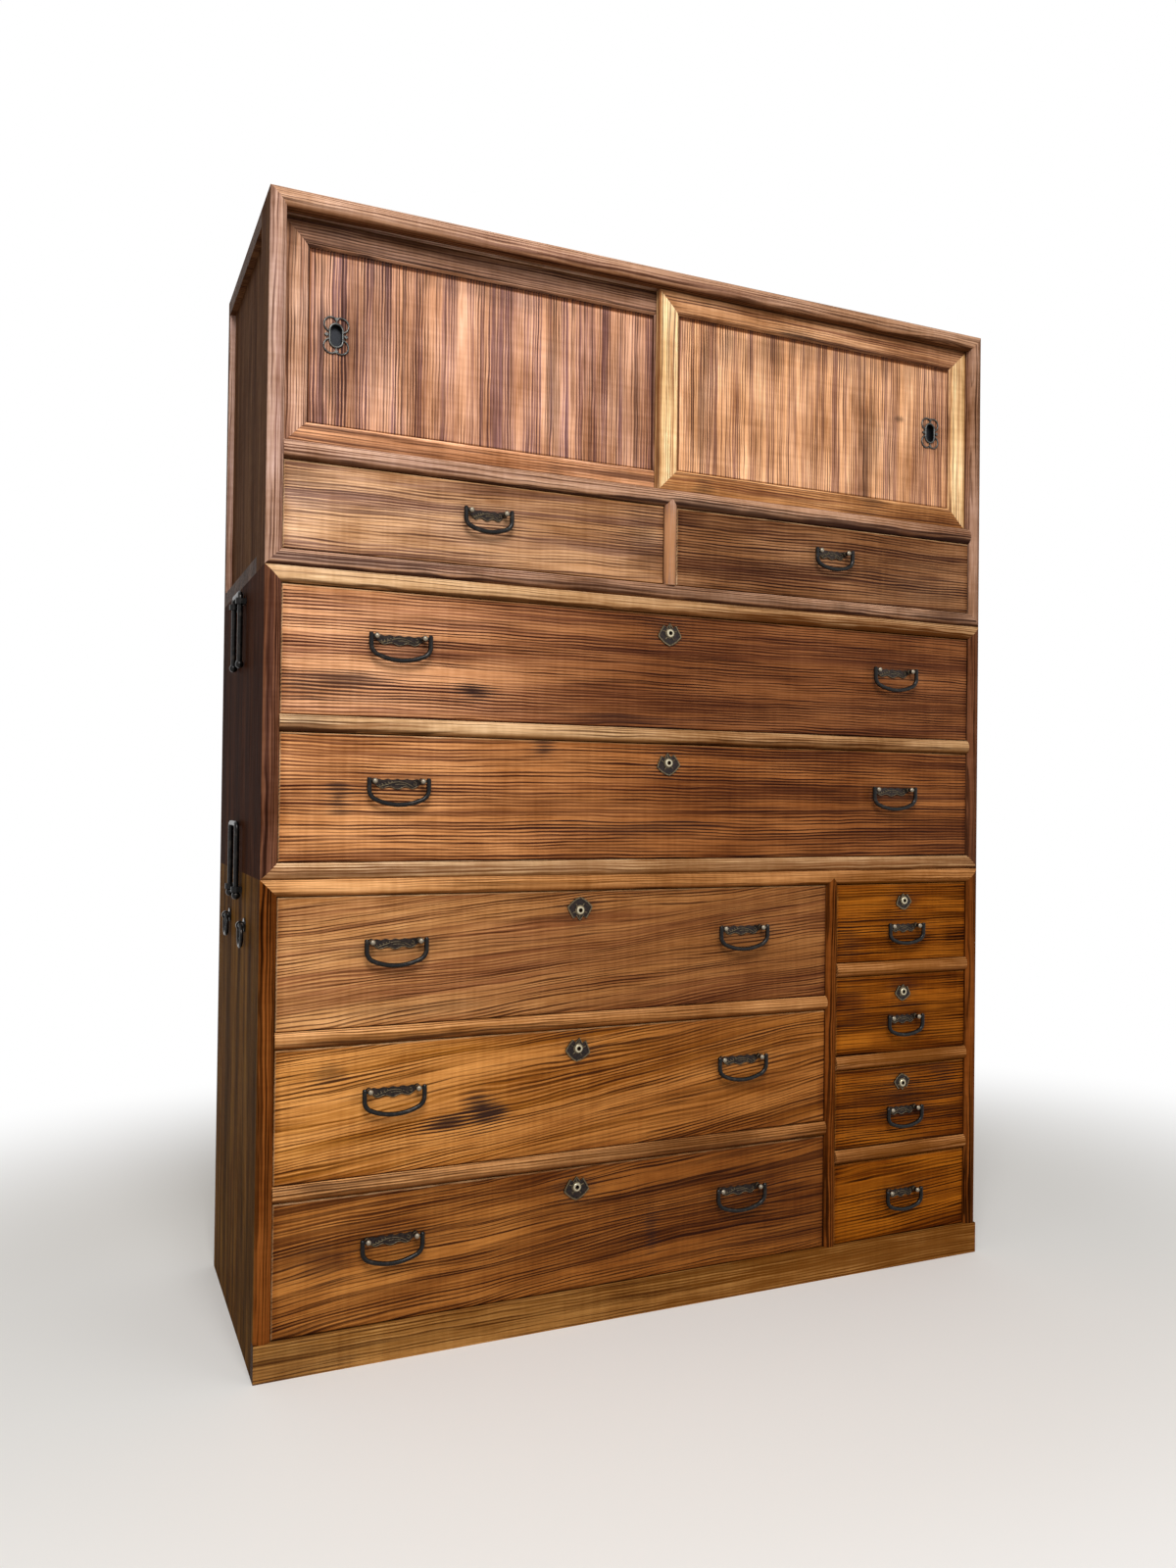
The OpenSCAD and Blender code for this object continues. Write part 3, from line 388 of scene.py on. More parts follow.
@dataclass(frozen=True)
class OiledPaulownia:
    """Paulownia, scrubbed so that the hard grain stands up, then oiled and stained brown.

    The eye sees thin dark late-wood lines on amber ground, pale ridges between them, slow red-brown
    zones along the board, smoky stains round the ironwork, a soft sheen, and edges worn pale. Shade
    round the edges, in the joints and under the mouldings, highlights on upper edges, and part of the
    darkening to the right are painted in. The real lines lie 4 to 5 mm apart, and so do the ones drawn here.
    """

    name: str
    grain: Grain
    reach: Reach
    light: str = "#c48a55"
    mid: str = "#9a6236"
    dark: str = "#3d1c09"
    raw: str = "#bb9f7b"
    bare_line: str = "#7d5f42"
    # worn: colour of the painted highlight on a front's upper and left edges
    worn: str = "#e6c197"
    line_mm: float = 2.3
    regular: float = 0.11
    zone_mm: float = 28.0
    slope: float = 0.0
    lean: float = 0.85
    waver_mm: float = 10.0
    lines: float = 0.8
    smoke: float = 0.5
    # darkening to the right: partly the board's own tone, partly painted shade of the light falling off
    tone_and_falloff: float = 0.0
    falloff_mm: float = 640.0
    falloff_from_mm: float = -458.0
    gloss: float = 0.44
    specular: float = 0.07
    # flank: tone of the outer sides and ledges, partly their stain, partly painted shade
    flank: tuple[float, float, float] | None = None
    # under: painted shade on surfaces that face down
    under: float = 0.45
    wear_and_highlight: float = 0.45
    # rim: strength of the painted highlight on a front's upper and left edges
    rim: float = 0.0
    shift: tuple[float, float, float] = (0.0, 0.0, 0.0)
    front_mm: float = 0.0
    half_mm: float = 600.0
    top_mm: float = 1569.5
    ledges_mm: float = 1500.0
    face: Face | None = None
    marks: tuple[Mark, ...] = ()

    def build(self) -> Material:
        """Builds the material.

        Returns:
            The material.
        """
        at = Surface(self.name)
        x, y, z = (place + moved for place, moved in zip((at.x, at.y, at.z), self.shift))
        along, across = self._course(at, x, z)
        across = across - along * self.slope + y * self.lean
        kinks = KINKS.over(along, across, y)
        bends = BENDS.over(along, across, y)
        ring = across + (bends - 0.5) * (self.waver_mm * 2) + (kinks - 0.5) * KINK_MM

        growth = self._growth(along, ring, y)
        grouped = between(GROUPS.over(along, across, y), *GROUPED)
        line = between(growth, *LATE_WOOD) * (grouped * 0.5 + 0.5)
        ridge = between(growth, *RIDGES)
        zone = Cloud(520, self.zone_mm, 40, 2).over(along, ring, y)
        patch = PATCHES.over(along, across, y)
        fibre = FIBRES.over(along, across, y)
        ribbon = RIBBONS.over(across, along, y)
        frayed = kinks + (growth - 0.5) * 1.3

        light, mid = self._tones(at)
        ground = blend(between(zone, *ZONES), mid, light)
        ground = blend(ridge * 0.8, ground, light)
        for mark in self.marks:
            if mark.worn:
                ground = blend(mark.over(at, frayed), ground, light)
        ground = blend(line * self.lines, ground, linear(self.dark))
        # wear and painted highlight on eased edges that face up
        ground = blend(self._worn_and_lit(at, growth), ground, light)
        # painted highlight on the upper and left edges
        if self.face is not None and self.rim > 0:
            ground = blend(self._edge_highlight(at, fibre), ground, linear(self.worn))
        ground = shaded(ground, self._shade(at, patch, fibre, ribbon))
        for mark in self.marks:
            if not mark.worn:
                ground = blend(mark.over(at, frayed), ground, linear(mark.tone))
        # sides and ledges darker: partly their own stain, partly painted shade
        if self.flank is not None:
            ground = blend(self._on_flank(at), ground, filtered(at.tree, ground, self.flank))
        sheen = line * 0.10 + self.gloss
        oiled = self._oiled(at)
        if oiled is not None:
            pale = blend(line * 0.5, linear(self.raw), linear(self.bare_line))
            ground = blend(oiled, shaded(pale, (patch - 0.5) * 0.7 + 1.0), ground)
            sheen = sheen + (1.0 - oiled) * 0.3
        inputs = {"Base Color": ground, "Roughness": sheen, "IOR": 1.47, "Specular IOR Level": self.specular}
        return at.complete(inputs, height=line + fibre * 0.3, strength=0.7, depth_mm=0.45)

    def _course(self, at: Surface, x: Value, z: Value) -> tuple[Value, Value]:
        """Says which way the fibres run: the places along and across them."""
        return (x, z) if self.grain is Grain.LEVEL else (z, x)

    def _growth(self, along: Value, ring: Value, depth: Value) -> Value:
        """Draws the year rings: low in the dark late wood, high on the pale ridges, about 0.5 on average."""
        turns = (ring * (math.tau / (self.line_mm * 1.9))).step("SINE")
        return Cloud(260, self.line_mm, self.line_mm * 1.6, 3).over(along, ring, depth) + turns * self.regular

    def _tones(self, at: Surface) -> tuple[Any, Any]:
        """Gives the light and the middle colour of the ground."""
        return linear(self.light), linear(self.mid)

    def _worn_and_lit(self, at: Surface, growth: Value) -> Value:
        """Finds eased edges that look half forward and not down: wear and a painted highlight make them pale.

        Args:
            at: the surface.
            growth: the year rings, low in the late wood.

        Returns:
            How far each place is worn and lit pale.
        """
        forward = abs(at.ahead)
        edge = between(forward, *EASED) * between(forward, *FLAT_FRONT)
        upward = between(at.upward, *NOT_DOWN) * 0.8 + 0.2
        return edge * upward * self.wear_and_highlight * between(growth, 0.33, 0.55)

    def _edge_highlight(self, at: Surface, fibre: Value) -> Value:
        """Paints a thin highlight on the upper and the left edge of a front, lit from the upper left."""
        line = UPPER_HIGHLIGHT.over(self.face.high - at.z).most(LEFT_HIGHLIGHT.over(at.x - self.face.left))
        return line * self.rim * between(fibre, 0.25, 0.6)

    def _shade(self, at: Surface, patch: Value, fibre: Value, ribbon: Value) -> Value:
        """Works out each place's darkness or lightness against its ground, painted shade included.

        Args:
            at: the surface.
            patch: noise of broad clouds.
            fibre: noise of single fibres.
            ribbon: noise of narrow bands across the board.

        Returns:
            The factor.
        """
        shade = (patch - 0.5) * (self.smoke * 2.2) + 1.0
        shade = shade + (fibre - 0.5) * FIBRE_SHADE + (ribbon - 0.5) * RIBBON_SHADE
        if self.face is not None:
            # painted shade round the front and painted shadow in its lower and right joints
            edge = self.face.from_sides(at).least(self.face.from_ends(at)) + patch * EDGE_SHADE_WAVER_MM
            joint = (at.z - self.face.low).least(self.face.right - at.x)
            shade = shade * (1.0 - EDGE_SHADE.over(edge)) * (1.0 - GAP_SHADOW.over(joint))
        # darker towards the right: partly tone, partly painted shade of the light falling off
        if self.tone_and_falloff > 0:
            far = between(at.x + patch * FALLOFF_WAVER_MM, self.falloff_from_mm, self.falloff_from_mm + self.falloff_mm)
            shade = shade * (1.0 - far * self.tone_and_falloff)
        # painted shade on surfaces that face down, such as the lower halves of the mouldings
        under = Band(-0.2, -0.8, self.under)
        return (shade * (1.0 - under.over(at.upward))).most(DARKEST)

    def _on_flank(self, at: Surface) -> Value:
        """Finds the chest's two outer sides and its ledges, whose tone is partly stain, partly painted shade.

        Args:
            at: the surface.

        Returns:
            1 on a side or a ledge, or else 0.
        """
        ledge = between(at.upward, *ALONG_AXIS) * (at.z < self.ledges_mm)
        side = between(abs(at.aside), *ALONG_AXIS).most(ledge)
        return side * between(abs(at.x), self.half_mm - 15.0, self.half_mm - 13.0)

    def _oiled(self, at: Surface) -> Value | None:
        """Says where the oil reached.

        Args:
            at: the surface.

        Returns:
            1 on the outside, 0 on raw wood inside, None where it is all over.
        """
        if self.reach is Reach.ALL_OVER:
            return None
        front = between(at.y, self.front_mm + 1.5, self.front_mm - 1.5)
        if self.reach is Reach.FRONT:
            return front
        side = between(abs(at.x), self.half_mm - 12.0, self.half_mm - 10.5)
        top = between(at.z, self.top_mm - 1.0, self.top_mm - 0.5)
        return front.most(side).most(top)


@dataclass(frozen=True)
class FramedPaulownia(OiledPaulownia):
    """A door of the same wood: mitred members that each follow their own grain, round an upright panel.

    The eye sees a smooth, paler frame with its grain turning at the corners, and on the panel
    straight amber and violet-brown streaks. Each member's tones are a light and a middle colour.
    """

    member_mm: float = 34.0
    stile: tuple[str, str] = ("#c99766", "#9c6c44")
    head: tuple[str, str] = ("#b47c50", "#855433")
    foot: tuple[str, str] = ("#b47c50", "#855433")

    def _course(self, at: Surface, x: Value, z: Value) -> tuple[Value, Value]:
        """Turns the fibres level on the rails, up to the mitres."""
        swap = self._on_rail(at) * (x - z)
        return z + swap, x - swap

    def _on_rail(self, at: Surface) -> Value:
        """Tells the rails from the stiles and the panel."""
        end = self.face.from_ends(at)
        return (self.face.from_sides(at) > end) * (end < self.member_mm)

    def _tones(self, at: Surface) -> tuple[Any, Any]:
        """Gives the panel, the stiles, the top rail and the foot rail a tone each.

        Args:
            at: the surface.

        Returns:
            The light and the middle colour.
        """
        on_rail = self._on_rail(at)
        on_stile = self.face.from_sides(at) < self.member_mm
        low = at.z < (self.face.low + self.face.high) / 2
        tones = []
        for panel, stile, head, foot in zip((self.light, self.mid), self.stile, self.head, self.foot):
            upright_tone = blend(on_stile, linear(panel), linear(stile))
            rail_tone = blend(low, linear(head), linear(foot))
            tones.append(blend(on_rail, upright_tone, rail_tone))
        return tones[0], tones[1]

    def _shade(self, at: Surface, patch: Value, fibre: Value, ribbon: Value) -> Value:
        """Paints shadow round the panel, most under the top rail, and a highlight on top of the foot rail.

        Args:
            at: the surface.
            patch: noise of broad clouds.
            fibre: noise of single fibres.
            ribbon: noise of narrow bands across the board.

        Returns:
            The factor.
        """
        low, high = self.face.low + self.member_mm, self.face.high - self.member_mm
        left, right = self.face.left + self.member_mm, self.face.right - self.member_mm
        from_head, from_left = high - at.z, at.x - left
        from_others = (right - at.x).least(at.z - low)
        on_panel = from_head.least(from_left).least(from_others) > 0.0
        # painted shadow on the panel beside the frame, deepest under the top rail
        painted_shadow = HEAD_SHADOW.over(from_head).most(LEFT_SHADOW.over(from_left)).most(OTHER_SHADOW.over(from_others))
        # painted highlight on the foot rail's upper edge, where the bead catches the light from above
        down = low - at.z
        rubbed = between(down, 0.0, 1.0) * between(down, 5.5, 3.5) * self._on_rail(at)
        shade = super()._shade(at, patch, fibre, ribbon)
        return shade * (1.0 - painted_shadow * on_panel) * (rubbed * 0.45 + 1.0)


@dataclass(frozen=True)
class BlackIron:
    """Forged iron, blackened by fire and oil and polished by hands.

    The eye sees near black with a soft, slightly uneven sheen and brown warmth in worn places.
    """

    name: str = "black_iron"
    base: str = "#141211"
    worn: str = "#302923"

    def build(self) -> Material:
        """Builds the material.

        Returns:
            The material.
        """
        at = Surface(self.name)
        coarse = at.speckle(9, 3)
        colour = blend(between(coarse, 0.52, 0.70), linear(self.base), linear(self.worn))
        inputs = {"Base Color": colour, "Roughness": coarse * 0.18 + 0.20, "Metallic": 0.65}
        return at.complete(inputs, height=at.speckle(1.6, 2), strength=0.35, depth_mm=0.12)


@dataclass(frozen=True)
class BrownPlate:
    """Thin pressed plates with a brown patina, domed studs and a key tube rubbed bright.

    The eye sees violet-brown metal, dull in its hollows, paler along the raised lines, and pale
    brass on what a hand touches.
    """

    name: str
    face_mm: float
    reach_mm: float
    tube_mm: float
    plate: str = "#1c1513"
    high: str = "#30251f"
    line: str = "#63563f"
    stud: str = "#8b8170"
    bright: str = "#b5ab90"

    def build(self) -> Material:
        """Builds the material.

        Returns:
            The material.
        """
        at = Surface(self.name)
        patch = at.speckle(4, 4)
        out = self.face_mm - at.y
        raised = between(out, 1.70, 2.00) * between(out, 3.4, 2.9) * between(patch, 0.30, 0.5)
        studs = between(out, self.reach_mm + 0.4, self.reach_mm + 2.4)
        tube = (between(out, self.tube_mm - 1.3, self.tube_mm - 0.7)
                * between(out, self.tube_mm + 0.5, self.tube_mm + 0.2))
        colour = blend(between(patch, 0.38, 0.66), linear(self.plate), linear(self.high))
        for part, tone in ((raised, self.line), (studs, self.stud), (tube, self.bright)):
            colour = blend(part, colour, linear(tone))
        colour = shaded(colour, 1.0 - between(out, 1.3, 0.2) * 0.8)
        inputs = {"Base Color": colour, "Roughness": patch * 0.22 + 0.30, "Metallic": 0.7}
        return at.complete(inputs, height=patch, strength=0.5, depth_mm=0.2)


@dataclass(frozen=True)
class DarkPewter:
    """Cast pewter, dark in the cup and polished on the rim and the wires.

    The eye sees cool grey metal with bright lines along the rounded wires.
    """

    name: str
    face_mm: float
    hollow: str = "#222326"
    wire: str = "#575754"

    def build(self) -> Material:
        """Builds the material.

        Returns:
            The material.
        """
        at = Surface(self.name)
        patch = at.speckle(4, 3)
        high = between(self.face_mm - at.y, 0.6, 2.4) * between(patch, 0.2, 0.6)
        colour = blend(high, linear(self.hollow), linear(self.wire))
        inputs = {"Base Color": colour, "Roughness": patch * 0.2 + 0.28, "Metallic": 0.9}
        return at.complete(inputs, height=patch, strength=0.4, depth_mm=0.15)


def wear(obj: Object, material: Material) -> None:
    """Gives an object one material in all its slots."""
    obj.data.materials.clear()
    obj.data.materials.append(material)


def placed(name: str, data: Any) -> Object:
    """Makes an object and puts it into the scene.

    Args:
        name: the object's name.
        data: its mesh, lamp or camera.

    Returns:
        The object.
    """
    obj = bpy.data.objects.new(name, data)
    bpy.context.scene.collection.objects.link(obj)
    return obj


def baked(name: str, tree: Tree, values: dict[str, Any], place: Matrix) -> Object:
    """Runs a Geometry Nodes tree once and keeps its result as a plain mesh.

    Args:
        name: the name of the new piece.
        tree: the tree, whose inputs are known by name.
        values: input name to value.
        place: where the result goes, in the frame.

    Returns:
        The new object, at the origin, with its place in its mesh.
    """
    carrier = placed(name + "_carrier", bpy.data.meshes.new(name + "_seed"))
    modifier = carrier.modifiers.new("work", "NODES")
    modifier.node_group = tree
    for item in tree.interface.items_tree:
        if item.item_type == "SOCKET" and item.in_out == "INPUT" and item.name in values:
            modifier[item.identifier] = values[item.name]
    bpy.context.view_layer.update()
    graph = bpy.context.evaluated_depsgraph_get()
    mesh = bpy.data.meshes.new_from_object(carrier.evaluated_get(graph))
    carrier.modifiers.remove(modifier)
    bpy.data.objects.remove(carrier)
    mesh.transform(place)
    mesh.name = name
    return placed(name, mesh)


def joined(name: str, pieces: Sequence[Object], material: Material) -> Object:
    """Puts the meshes of several pieces into one object.

    Args:
        name: the name of the whole.
        pieces: the pieces, which are removed.
        material: the material of the whole.

    Returns:
        The whole.
    """
    points: list[Vector] = []
    faces: list[list[int]] = []
    for piece in pieces:
        start = len(points)
        points.extend(v.co.copy() for v in piece.data.vertices)
        faces.extend([start + i for i in face.vertices] for face in piece.data.polygons)
        bpy.data.objects.remove(piece)
    mesh = bpy.data.meshes.new(name)
    mesh.from_pydata(points, [], faces)
    mesh.shade_smooth()
    whole = placed(name, mesh)
    wear(whole, material)
    return whole


def new_tree(name: str, inputs: dict[str, Any]) -> tuple[Tree, dict[str, Value]]:
    """Starts a Geometry Nodes tree.

    Args:
        name: the tree's name.
        inputs: name of each input to its default, a whole number or another number.

    Returns:
        The tree, and its inputs by name with one for the material.
    """
    tree = bpy.data.node_groups.new(name, "GeometryNodeTree")
    for label, default in inputs.items():
        kind = "NodeSocketInt" if isinstance(default, int) else "NodeSocketFloat"
        tree.interface.new_socket(label, in_out="INPUT", socket_type=kind).default_value = default
    tree.interface.new_socket("Material", in_out="INPUT", socket_type="NodeSocketMaterial")
    tree.interface.new_socket("Geometry", in_out="OUTPUT", socket_type="NodeSocketGeometry")
    given = add_node(tree, "NodeGroupInput").outputs
    return tree, {label: Value(tree, given[label]) for label in (*inputs, "Material")}


def close_tree(tree: Tree, geometry: Socket, material: Value) -> None:
    """Ends a tree in real geometry with its material.

    Args:
        tree: the tree.
        geometry: the geometry so far.
        material: the material's input.
    """
    real = add_node(tree, "GeometryNodeRealizeInstances", {0: geometry})
    coated = add_node(tree, "GeometryNodeSetMaterial", {"Geometry": real.outputs[0], "Material": material})
    add_node(tree, "NodeGroupOutput", {0: coated.outputs[0]})


class Petal(NamedTuple):
    """A round of raised marks: the ring it lies on, its shares of the vein's length, and its turn."""

    ring: str
    wide: float
    long: float
    turn: float


@dataclass
class PetalWork:
    """Raised veins of the flower plates: five petals round a key tube, with a vein and two buds in each."""

    petals: int = 5
    near: float = 0.47
    far: float = 0.58
    vein: float = 0.17
    raised_mm: float = 0.8
    rings: tuple[Petal, ...] = (
        Petal("Near", 0.24, 0.9, 0.0), Petal("Far", 0.16, 0.32, 0.0), Petal("Far", 0.10, 0.7, 0.9))

    def __post_init__(self) -> None:
        """Builds the tree: leaves and buds on rings of points, turned to face outwards."""
        tree, given = new_tree("petal_work", {
            "Petals": self.petals, "Near": 0.007, "Far": 0.012, "Vein Length": 0.004, "Raised": 0.0007})
        bud = add_node(tree, "GeometryNodeMeshUVSphere", {"Segments": 8, "Rings": 5, "Radius": 1.0})
        whole = add_node(tree, "GeometryNodeJoinGeometry")
        for petal in self.rings:
            circle = add_node(tree, "GeometryNodeMeshCircle", {
                "Vertices": given["Petals"], "Radius": given[petal.ring]})
            index = Value(tree, add_node(tree, "GeometryNodeInputIndex").outputs[0])
            turn = index * math.tau / given["Petals"] + petal.turn
            euler = add_node(tree, "ShaderNodeCombineXYZ", {2: turn})
            rotation = add_node(tree, "FunctionNodeEulerToRotation", {0: euler.outputs[0]})
            size = add_node(tree, "ShaderNodeCombineXYZ", {
                0: given["Vein Length"] * petal.long,
                1: given["Vein Length"] * petal.wide,
                2: given["Raised"]})
            ring = add_node(tree, "GeometryNodeInstanceOnPoints", {
                "Points": circle.outputs["Mesh"], "Instance": bud.outputs["Mesh"],
                "Rotation": rotation.outputs[0], "Scale": size.outputs[0]})
            tree.links.new(ring.outputs[0], whole.inputs[0])
        close_tree(tree, whole.outputs[0], given["Material"])
        self.tree = tree

    def bake(self, name: str, size_mm: float, place: Matrix) -> Object:
        """Makes the work of one flower plate.

        Args:
            name: the piece's name.
            size_mm: the plate's radius, in millimetres.
            place: where it goes.

        Returns:
            The piece.
        """
        size = size_mm * MM
        return baked(name, self.tree, {
            "Petals": self.petals, "Near": self.near * size, "Far": self.far * size,
            "Vein Length": self.vein * size, "Raised": self.raised_mm * MM}, place)


class Path(NamedTuple):
    """A wire's way across a plate: its ends as shares of the half length, and how many points it has."""

    start: float
    end: float
    points: int


LIP = Path(-0.86, 0.86, 48)
STEM = Path(-0.34, 0.66, 28)
TWIN_STEM = Path(-0.10, 0.40, 18)
LEAF_VEIN = Path(-0.76, -0.20, 14)
TEETH_LINE = Path(-0.74, -0.22, 14)


@dataclass
class LeafScroll:
    """Raised work on a bail plate: a toothed leaf, an arched stem, a curl, and a lip below."""

    teeth: int = 5
    wire_mm: float = 1.25
    lip_mm: float = 1.0
    plate_h_mm: float = 10.0
    wave_mm: float = 1.6
    flat_mm: float = 5.0
    slope: float = 1.02

    def __post_init__(self) -> None:
        """Builds the tree: wires that follow formulas across the plate, a spiral, and a leaf's teeth."""
        tree, given = new_tree("leaf_scroll", {
            "Half Length": 0.033, "Plate Height": 0.010, "Wave": 0.0016, "Teeth": self.teeth,
            "Wire": 0.0005, "Lip": 0.001})
        lip = self._across(given, LIP, self._lip_height(given))
        stem = self._across(given, STEM, self._arch(given, 0.04, -0.10, 1.75))
        twin = self._across(given, TWIN_STEM, self._arch(given, 0.10, -0.42, 1.60))
        vein = self._across(given, LEAF_VEIN, self._rise(given, -0.02))
        spiral = add_node(tree, "GeometryNodeCurveSpiral", {
            "Resolution": 18, "Rotations": 0.85, "Start Radius": 0.0030, "End Radius": 0.0010, "Height": 0.0})
        beside = add_node(tree, "ShaderNodeCombineXYZ", {
            0: given["Half Length"] * 0.72, 1: given["Plate Height"] * -0.34})
        curl = add_node(tree, "GeometryNodeTransform", {
            "Geometry": spiral.outputs[0], "Translation": beside.outputs[0], "Rotation": (0.0, 0.0, 1.9)})
        profile = add_node(tree, "GeometryNodeCurvePrimitiveCircle", {
            "Resolution": 6, "Radius": given["Wire"]})
        whole = add_node(tree, "GeometryNodeJoinGeometry")
        for path in (lip, stem, twin, vein, curl.outputs[0]):
            wire = add_node(tree, "GeometryNodeCurveToMesh", {
                "Curve": path, "Profile Curve": profile.outputs[0], "Fill Caps": True})
            tree.links.new(wire.outputs[0], whole.inputs[0])
        tree.links.new(self._leaf(given), whole.inputs[0])
        close_tree(tree, whole.outputs[0], given["Material"])
        self.tree = tree

    def bake(self, name: str, half_mm: float, place: Matrix) -> Object:
        """Makes the work of one bail plate.

        Args:
            name: the piece's name.
            half_mm: half of the plate's length, in millimetres.
            place: where it goes.

        Returns:
            The piece.
        """
        return baked(name, self.tree, {
            "Half Length": half_mm * MM, "Plate Height": self.plate_h_mm * MM, "Wave": self.wave_mm * MM,
            "Teeth": self.teeth, "Wire": self.wire_mm / 2 * MM, "Lip": self.lip_mm * MM}, place)

    def _across(self, given: dict[str, Value], path: Path, height: Value) -> Socket:
        """Lays a wire across part of the plate.

        Args:
            given: the tree's inputs.
            path: where it begins and ends, and its points.
            height: the height of each point above the pins.

        Returns:
            The curve.
        """
        tree = height.tree
        first, last = (add_node(tree, "ShaderNodeCombineXYZ", {0: given["Half Length"] * share}).outputs[0]
                       for share in (path.start, path.end))
        line = add_node(tree, "GeometryNodeCurvePrimitiveLine", {"Start": first, "End": last})
        spaced = add_node(tree, "GeometryNodeResampleCurve", {"Curve": line.outputs[0], "Count": path.points})
        offset = add_node(tree, "ShaderNodeCombineXYZ", {1: height})
        return add_node(tree, "GeometryNodeSetPosition", {
            "Geometry": spaced.outputs[0], "Offset": offset.outputs[0]}).outputs[0]

    def _share(self, given: dict[str, Value]) -> Value:
        """Says how far a point lies from the middle of the plate.

        Args:
            given: the tree's inputs.

        Returns:
            The distance, as a share of the plate's half length.
        """
        tree = given["Half Length"].tree
        place = add_node(tree, "GeometryNodeInputPosition").outputs[0]
        split = add_node(tree, "ShaderNodeSeparateXYZ", {0: place})
        return Value(tree, split.outputs[0]) / given["Half Length"]

    def _lip_height(self, given: dict[str, Value]) -> Value:
        """Follows the waved lower edge of the plate, a little above it.

        Args:
            given: the tree's inputs.

        Returns:
            The height.
        """
        share = self._share(given)
        wave = (share * (math.tau * 1.5)).step("COSINE") * given["Wave"]
        rise = abs(share) ** 4.0 * (given["Plate Height"] - self.flat_mm * MM)
        return rise - wave - given["Plate Height"] + given["Lip"]

    def _arch(self, given: dict[str, Value], middle: float, crown: float, fall: float) -> Value:
        """Arches over the plate, falling both ways from a crown given in shares of its sizes."""
        away = self._share(given) - middle
        return (away * away * -fall + crown) * given["Plate Height"]

    def _rise(self, given: dict[str, Value], level: float) -> Value:
        """Rises towards the right at a steady slope, through a level at the middle of the plate."""
        return (self._share(given) * self.slope + level) * given["Plate Height"]

    def _leaf(self, given: dict[str, Value]) -> Socket:
        """Sets the leaf's teeth along its vein, leaning down to the right.

        Args:
            given: the tree's inputs.

        Returns:
            The teeth.
        """
        tree, plate_h = given["Teeth"].tree, given["Plate Height"]
        vein = self._across(given, TEETH_LINE, self._rise(given, 0.10))
        spaced = add_node(tree, "GeometryNodeResampleCurve", {"Curve": vein, "Count": given["Teeth"]})
        size = add_node(tree, "ShaderNodeCombineXYZ", {
            0: plate_h * 0.27, 1: plate_h * 0.085, 2: plate_h * 0.07})
        tooth = add_node(tree, "GeometryNodeMeshUVSphere", {"Segments": 8, "Rings": 5, "Radius": 1.0})
        turn = add_node(tree, "FunctionNodeEulerToRotation", {0: (0.0, 0.0, -0.85)})
        return add_node(tree, "GeometryNodeInstanceOnPoints", {
            "Points": spaced.outputs[0], "Instance": tooth.outputs["Mesh"],
            "Rotation": turn.outputs[0], "Scale": size.outputs[0]}).outputs[0]


def upright(x_mm: float, y_mm: float, z_mm: float, turn: float = 0.0) -> Matrix:
    """Places work drawn in plan upright on a front, facing forwards, turned by degrees in its plane."""
    place = Matrix.Translation((x_mm * MM, y_mm * MM, z_mm * MM))
    return place @ Matrix.Rotation(math.radians(90), 4, "X") @ Matrix.Rotation(math.radians(turn), 4, "Z")


class Flower(NamedTuple):
    """The flower plate of a lock: its radius in millimetres, and how far it is turned in degrees."""

    size_mm: float
    turn: float


# What the fronts of all drawers share, unless a drawer's own look says otherwise
FRONT = dict(grain=Grain.LEVEL, reach=Reach.FRONT, wear_and_highlight=0.75, rim=0.7, specular=0.06)


